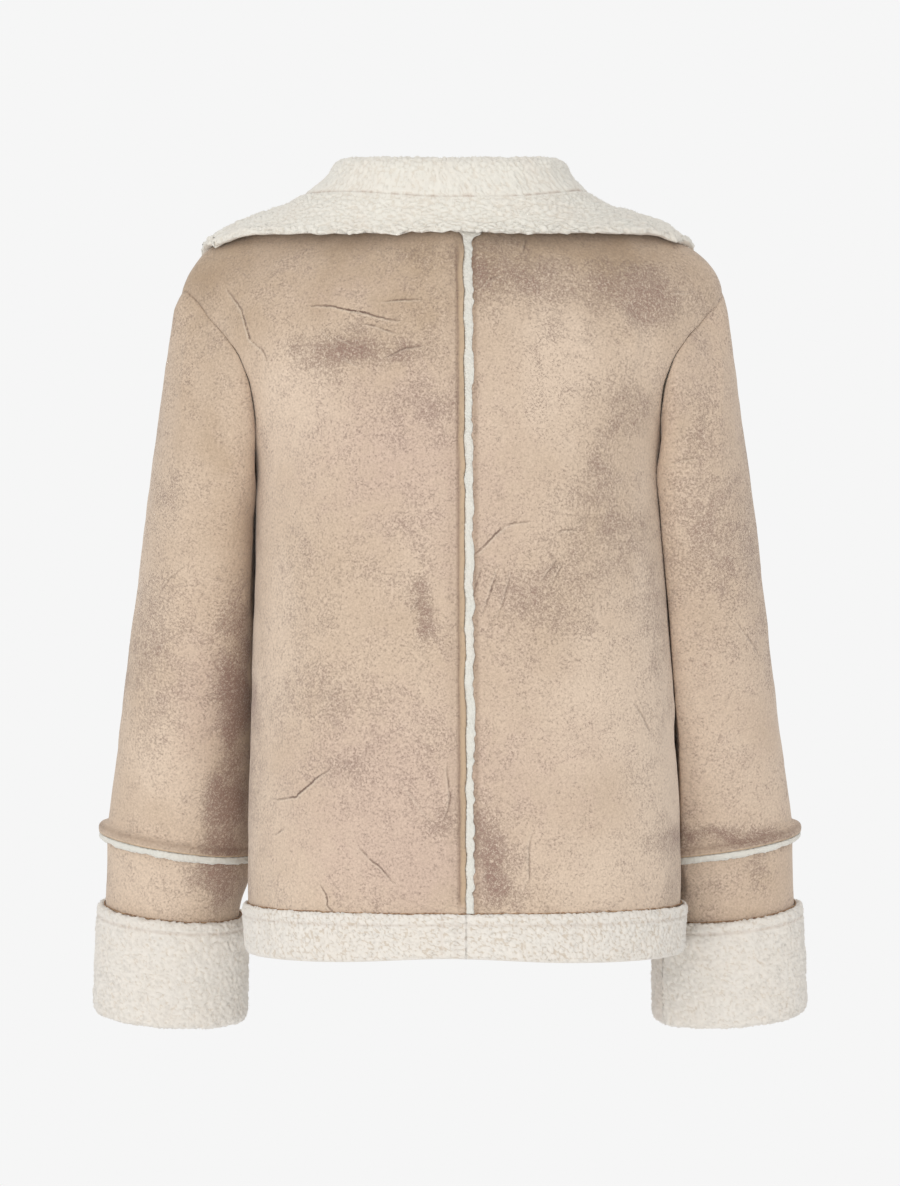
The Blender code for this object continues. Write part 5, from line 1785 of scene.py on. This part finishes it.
def raw_edge(name, surface, angles, place, waves, off, ring):
    """A waving raw edge on a surface."""
    path = off_surface(surface, place + waves, angles, np.full(len(angles), off))
    under = off_surface(surface, np.full(len(angles), place), angles, np.full(len(angles), -0.002))
    edge = cord(name, path, unit(path - under), EDGE_RADIUS, ring)
    declare(edge, None, (KNIT_EDGE,))
    print(f"{name}: {np.linalg.norm(np.diff(path, axis=0), axis=1).sum() * 1000:.0f} mm long")


EDGE_RADIUS = 0.0005
CUFF_EDGE_S, CUFF_EDGE_POINTS = 1.3945, 420
HEM_EDGE_T, HEM_EDGE_POINTS = -0.8945, 1300
for side, word in SIDES:
    vent = VENT_ANGLE[side]
    angles = -side * np.radians(np.linspace(vent + 4, vent + 356, CUFF_EDGE_POINTS))
    line = np.full(CUFF_EDGE_POINTS, CUFF_EDGE_S)
    near = off_surface(arm_place(side), line, angles, np.full(CUFF_EDGE_POINTS, 0.0010))
    waves = (0.0004 * lumps(near, 0.006, 14) + 0.0004 * lumps(near, 0.0025, 15)) / ARM_SCALE
    name = f"raw_edge_cuff_{word}"
    raw_edge(name, arm_place(side), angles, CUFF_EDGE_S, waves, 0.0011, False)
angles = np.linspace(0, 2 * math.pi, HEM_EDGE_POINTS, endpoint=False)
flat = body_surface(angles, np.full(HEM_EDGE_POINTS, -0.895))
waves = (0.0004 * lumps(flat, 0.006, 16) + 0.0005 * lumps(flat, 0.0025, 17)) / BODY_DROP
raw_edge("raw_edge_hem", body_surface, angles, HEM_EDGE_T, waves, 0.0007, True)

# %% [markdown]
# ## Pile beside the back seam
#
# The left back laps over the right one with its pile turned out, so a white strip runs from the
# collar to the hem. Its edge waves a little, and under the collar it spreads.

# %% Back seam strip
STRIP_T = np.linspace(-0.8935, 0.775, 620)
STRIP_WIDTH, STRIP_HEIGHT, STRIP_CURL = 0.0068, 0.0022, 0.0034
SEAM_GAP = 0.0003
SPREAD_LEFT, SPREAD_RIGHT = 0.008, 0.006
opening = ease((STRIP_T - 0.745) / 0.03) ** 2
seam_line = body_surface(angle_at(centre_x("back", STRIP_T), STRIP_T), STRIP_T)
ragged = 1 + 0.17 * lumps(seam_line, 0.012, 18) + 0.20 * lumps(seam_line, 0.0045, 19)
wide = STRIP_WIDTH * ragged * (1 + 0.10 * ease((STRIP_T - 0.1) / 0.6)) + SPREAD_RIGHT * opening
wave = EDGE_WAVE * lumps(seam_line, WAVE_LENGTH, WAVE_SEED)
spread = SPREAD_LEFT * opening
loops = []
turns = np.linspace(0, 2 * math.pi, 26, endpoint=False)
for turn in turns:
    across = 0.5 - 0.5 * math.cos(turn)
    height = SEAM_GAP + max(math.sin(turn), 0) ** 0.6 * STRIP_HEIGHT
    x = centre_x("back", STRIP_T) - SEAM_GAP + spread - (wide + spread) * across
    x = x - wave * (1 - across)
    lifted = height + 0.003 * ease((STRIP_T - 0.735) / 0.03)
    loops.append(off_surface(body_surface, STRIP_T, angle_at(x, STRIP_T), lifted))
loops = np.stack(loops, axis=1)
push, curl = fluff(loops, STRIP_CURL, 80)
up = ease(np.sin(turns) * 2)[None]
loops = loops + loop_normals(loops, False) * (0.0008 * push * up)[..., None]
strip = tube_mesh("sherpa_back_seam", loops, False, {"curl": 0.35 + 0.65 * curl, "seam": 0 * curl})
declare(strip, "back_seam_pile", (SHERPA_WHITE,))
print("the strip is", round(wide.min() * 1000, 1), "to", round(wide.max() * 1000, 1), "mm wide")

# %% [markdown]
# ## The collar's ends
#
# The ends of the heavy fall lie over the shoulders, where they sink a little and are drawn in. The
# neck seam has a sharp corner there, which is eased out of the cloth above it.

# %% The collar's ends
COLLAR_PER_ROW = 20
COLLAR_END = 3.035  # the free edge turns under a little past 3
DROOP = {1: (0.170, 0.0072), -1: (0.172, 0.0072)}  # the x from which it sinks, and how far
DROOP_OVER = 0.024
ENDS_DRAWN_IN = {1: (0.190, 0.6), -1: (0.175, 0.68)}  # the x, and what is kept of the rest


def droop(points):
    """The ends of the fall sink on the shoulders, and are drawn in a little."""
    sunk, drawn = np.zeros(points.shape[:-1]), np.zeros(points.shape[:-1])
    for side, (start, depth) in DROOP.items():
        sunk += depth * np.clip((side * points[..., 0] - start) / DROOP_OVER, 0, 1) ** 1.5
        start, keep = ENDS_DRAWN_IN[side]
        drawn += side * (1 - keep) * np.maximum(side * points[..., 0] - start, 0)
    return points - stack(drawn, 0.0, sunk)


def between(low, high, rows):
    """A grid of the collar from one share to another. Each column has its own."""
    dense = np.linspace(0, COLLAR_END, 360)
    columns = collar_grid(dense, COLLAR_PER_ROW)
    at_shoulder = bump(np.concatenate([w[::-1], w[1:]]) - 0.5, 0.06)
    turn = 0.5 * at_shoulder * ease(dense / 0.6)[:, None]
    for _ in range(150):  # each pass moves the columns of the corner towards their neighbours
        even = (columns[:, :-2] + columns[:, 2:]) / 2
        columns[:, 1:-1] += turn[:, 1:-1, None] * (even - columns[:, 1:-1])
    share = low + (high - low) * np.linspace(0, 1, rows)[:, None]
    at = share / dense[-1] * (len(dense) - 1)
    start = np.clip(at.astype(int), 0, len(dense) - 2)
    part = (at - start)[..., None]
    column = np.arange(columns.shape[1])[None]
    return columns[start, column] * (1 - part) + columns[start + 1, column] * part


w = neckline(1, COLLAR_PER_ROW)[0]
print("columns in the collar:", 2 * len(w) - 1)

# %% [markdown]
# ## Keeping the fall off the shoulders
#
# Where an end of the fall sinks into the shoulder, it is lifted out. A tree, which sorts points by
# place, finds the nearest point of the body. The lift is then spread, so that it makes no crease.

# %% Keeping the fall off the shoulders
OFF_BODY = 0.0028
LIFT_MOST = 0.006
LIFT_FROM_X = 0.14


def keep_off_body(points):
    """Lifts the ends of the fall off the shoulders, where they would sink in."""
    angles = np.linspace(0, 2 * math.pi, 480, endpoint=False)
    body = body_surface(angles[None], np.linspace(-0.3, 0.98, 200)[:, None])
    out = normals_of(body, True).reshape(-1, 3)
    body = body.reshape(-1, 3)
    out = out * np.sign(((body - body.mean(0)) * out).sum())
    tree = KDTree(len(body))
    for number, point in enumerate(body):
        tree.insert(point, number)
    tree.balance()
    lift = np.zeros(points.shape)
    need = OFF_BODY + shoulder_hill(points)
    for place in np.argwhere(np.abs(points[..., 0]) > LIFT_FROM_X):
        place = tuple(place)
        near, number, _ = tree.find(points[place])
        short = need[place] - (points[place] - np.array(near)) @ out[number]
        lift[place] = out[number] * min(max(short, 0), LIFT_MOST)
    for _ in range(10):
        around = np.pad(lift, ((1, 1), (1, 1), (0, 0)), mode="edge")
        lift = (around[:-2, 1:-1] + around[2:, 1:-1] + around[1:-1, :-2] + around[1:-1, 2:]) / 4
    return points + lift


print("the fall keeps", OFF_BODY * 1000, "mm off the shoulders")

# %% [markdown]
# ## The collar's stand and fall
#
# Both layers bend together at a free edge, so the cloth ends there in a full round lip of pile,
# 7 mm thick. The pile is pulled in at the seam between the pieces, which shows as a dotted line.

# %% Collar pieces
EDGE_ROUND = 0.0058
EDGE_TURNED = 0.03  # the pile is turned under this far, and the suede starts behind it
EDGE_FLUFFED = 0.014
FALL_LONGER, LONGER_FROM_X = 0.005, 0.165
SEAM_DIP, SEAM_DIP_PLACE = 0.10, 0.42
COLLAR_CURL, COLLAR_CURL_HEIGHT = 0.0045, 0.0013
seam_share = COLLAR_SEAM + SEAM_DIP * np.concatenate([0 * w[::-1], bump(w[1:] - SEAM_DIP_PLACE, 0.15)])
COLLAR_RESTS = {
    "collar_stand": ["suede_back_left", "suede_back_right"], "collar_fall": ["sherpa_collar_stand"],
}
COLLAR_SHARES = (("collar_stand", 0.0, seam_share, 61), ("collar_fall", seam_share, COLLAR_END, 64))
for node, low, high, rows in COLLAR_SHARES:
    grid = droop(between(low, high, rows))
    if node == "collar_fall":
        progress = along_rows(grid) / along_rows(grid)[-1:]
        over_shoulder = ease((np.abs(grid[..., 0]) - LONGER_FROM_X) / 0.03)
        longer = FALL_LONGER * over_shoulder * progress**2
        grid = keep_off_body(grid + unit(np.gradient(grid, axis=0)) * longer[..., None])
    normals = normals_of(grid)
    down = along_rows(grid)
    from_right = np.linalg.norm(grid - grid[:, :1], axis=-1)
    from_left = np.linalg.norm(grid - grid[:, -1:], axis=-1)
    front_end = np.minimum(from_right, from_left)
    free = np.minimum(front_end, down[-1:] - down) if node == "collar_fall" else front_end
    full = np.sqrt(1 - (1 - np.clip(free / EDGE_ROUND, 0.02, 1)) ** 2)
    if node == "collar_fall":
        ragged = 0.0020 * lumps(grid, 0.0046, 91) + 0.0012 * lumps(grid, 0.0024, 92)
        ragged = ragged * ease(1 - free / 0.011)
        grid = grid + unit(np.gradient(grid, axis=0)) * ragged[..., None]
    middle = grid - normals * (COLLAR_WALL / 2)
    suede_side = middle + normals * (COLLAR_WALL / 2 * full)[..., None]
    pile_side = middle - normals * (COLLAR_WALL / 2 * full)[..., None]
    out = -normals_of(pile_side)
    push, curl = fluff(pile_side, COLLAR_CURL, 20)
    from_seam = down[-1:] - down if node == "collar_stand" else down
    joined = bump(from_seam, 0.0016)
    tufts = COLLAR_CURL_HEIGHT * (1 + 0.7 * (1 - ease(free / EDGE_FLUFFED)))
    pile_side = pile_side + out * (tufts * push * (1 - joined) - 0.0010 * joined)[..., None]
    none = np.zeros(grid.shape[:2])
    dotted = ease(0.45 + 0.8 * lumps(grid, 0.0035, 93))
    values = {"curl": (curl, none), "seam": (0.5 * dotted * bump(from_seam, 0.0008), none)}
    for key in ("rubbed", "pale", "pink", "raw", "crack_depth"):
        values[key] = (none, none)
    values["crack_distance"] = (none + NO_CRACK, none + NO_CRACK)
    turned = np.where(free[::SKIP, ::SKIP][:-1, :-1] < EDGE_TURNED, 2, 1)
    piece = wall_mesh(f"sherpa_{node}", pile_side, suede_side, False, values, True, turned)
    tips.append(("collar", pile_side[2:-2, 2:-2].reshape(-1, 3), out[2:-2, 2:-2].reshape(-1, 3)))
    cloth = (SHERPA, SUEDE, SHERPA)
    declare(piece, node, cloth, cut_of(grid), COLLAR_RESTS[node])

# %% [markdown]
# ## Loose fibres
#
# A pile has no sharp outline, because the tips of its fibres stand out between the curls. Real
# fibres are 20 microns thick, so a bent blade, 1 to 3 mm long, stands for a tuft of some ten.
# Their places come from a seeded generator, so that every run gives the same ones.

# %% Loose fibres
FIBRE_LENGTH = 0.0021
FIBRE_WIDTH = 0.00026
FIBRE_COUNTS = {"collar": 12000, "cuff_left": 3000, "cuff_right": 3000, "hem": 5000}
draw = np.random.default_rng(7)
for name, count in FIBRE_COUNTS.items():
    points = np.concatenate([part for piece, part, _ in tips if piece == name])
    out = np.concatenate([part for piece, _, part in tips if piece == name])
    picked = draw.integers(0, len(points), count)
    points, out = points[picked], out[picked]
    side_way = unit(np.cross(out, draw.normal(size=(count, 3))))
    other_way = np.cross(out, side_way)
    length = FIBRE_LENGTH * draw.uniform(0.5, 1.4, (count, 1))
    lean = draw.uniform(0.2, 1.5, (count, 1))
    root = points - out * 0.0003
    half = root + unit(out + lean * side_way) * length * 0.5
    tip = half + unit(out + 2 * lean * side_way + 0.8 * other_way) * length * 0.5
    broad = other_way * FIBRE_WIDTH / 2
    blades = np.stack([root - broad, root + broad, half - 0.7 * broad, half + 0.7 * broad, tip], axis=1)
    first = 5 * np.arange(count)[:, None]
    quads, ends = first + [0, 1, 3, 2], first + [2, 3, 4]
    values = {"curl": np.full(5 * count, 0.9), "seam": np.zeros(5 * count)}
    faces = [quads, ends]
    tuft = new_mesh(f"sherpa_fibres_{name}", blades.reshape(-1, 3), faces, flat_faces(*faces), values)
    declare(tuft, None, (SHERPA,))
print("tufts of fibres:", FIBRE_COUNTS)

# %% [markdown]
# ## The floor
#
# The floor lies where the wearer's feet would be. It is nearly white, as in a studio.

# %% Floor
FLOOR_Z, FLOOR_HALF = -1.45, 3.6
corners = np.array([(-1, -1, 0), (1, -1, 0), (1, 1, 0), (-1, 1, 0)]) * FLOOR_HALF
floor = new_mesh("floor", corners + (0, 0, FLOOR_Z), [np.array([[0, 1, 2, 3]])], [0], {})
plaster, tree = new_material("pale_painted_floor")
inputs = {"Base Color": linear("#FAFAFA"), "Roughness": 0.9}
add(tree, "OutputMaterial", {"Surface": add(tree, "BsdfPrincipled", inputs)})
floor.data.materials.append(plaster)
floor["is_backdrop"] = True
print("the floor is", round(2 * FLOOR_HALF, 1), "m wide")

# %% [markdown]
# ## The light
#
# The jacket was lit by large soft lamps in front of a near white wall, a little stronger from
# the left. A pale sky all round gives the soft part, and one big area lamp the rest.

# %% Light
SOFTBOX_PLACE, SOFTBOX_AIM = (0.8, 3.2, -0.3), (0.0, 0.0, -0.3)
SOFTBOX_SIZE, SOFTBOX_WATTS = 1.6, 32
world = bpy.data.worlds.new("pale_studio")
world.use_nodes = True
world.node_tree.nodes["Background"].inputs[0].default_value = linear("#F6F6F6")
world.node_tree.nodes["Background"].inputs[1].default_value = 1.0
bpy.context.scene.world = world

lamp = bpy.data.lights.new("softbox", "AREA")
lamp.shape = "RECTANGLE"
lamp.size, lamp.size_y = SOFTBOX_SIZE, SOFTBOX_SIZE
lamp.energy = SOFTBOX_WATTS
softbox = bpy.data.objects.new("softbox", lamp)
softbox.location = SOFTBOX_PLACE
direction = np.array(SOFTBOX_AIM) - np.array(softbox.location)
softbox.rotation_euler = (
    math.atan2(math.hypot(direction[0], direction[1]), -direction[2]),
    0,
    math.atan2(direction[1], direction[0]) - math.pi / 2,
)
bpy.context.scene.collection.objects.link(softbox)
bpy.context.scene.view_settings.view_transform = "Standard"
print("the lamp is", round(float(np.linalg.norm(direction)), 2), "m from the jacket")

# %% [markdown]
# ## The camera
#
# The photo was taken from the back, level with the middle of the jacket. A long lens 3.5 m away
# keeps near and far parts nearly the same size, as there.

# %% Camera
CAMERA_AWAY, CAMERA_Z = 3.5, -0.3128
camera = bpy.data.objects.new("camera", bpy.data.cameras.new("camera"))
camera.data.sensor_fit = "VERTICAL"
camera.data.sensor_height = 36
camera.data.lens = 125
camera.location = (0, CAMERA_AWAY, CAMERA_Z)
camera.rotation_euler = (math.pi / 2, 0, math.pi)
bpy.context.scene.collection.objects.link(camera)
bpy.context.scene.camera = camera
print("the picture is", round(36 / 125 * CAMERA_AWAY, 3), "m high at the jacket")

# %% [markdown]
# ## The size
#
# The dressed jacket fills the same box as its solids, apart from a few millimetres of pile. Both
# boxes are printed.

# %% Finish
visual_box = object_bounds()
boxes = {"cad": cad_box, "visual": visual_box}
{key: [[float(v) for v in corner] for corner in box] for key, box in boxes.items()}
meshes = [thing.data for thing in bpy.data.objects if thing.type == "MESH"]
print("triangles:", sum(len(face.vertices) - 2 for mesh in meshes for face in mesh.polygons))
print("CAD box", cad_box, "visual box", visual_box)
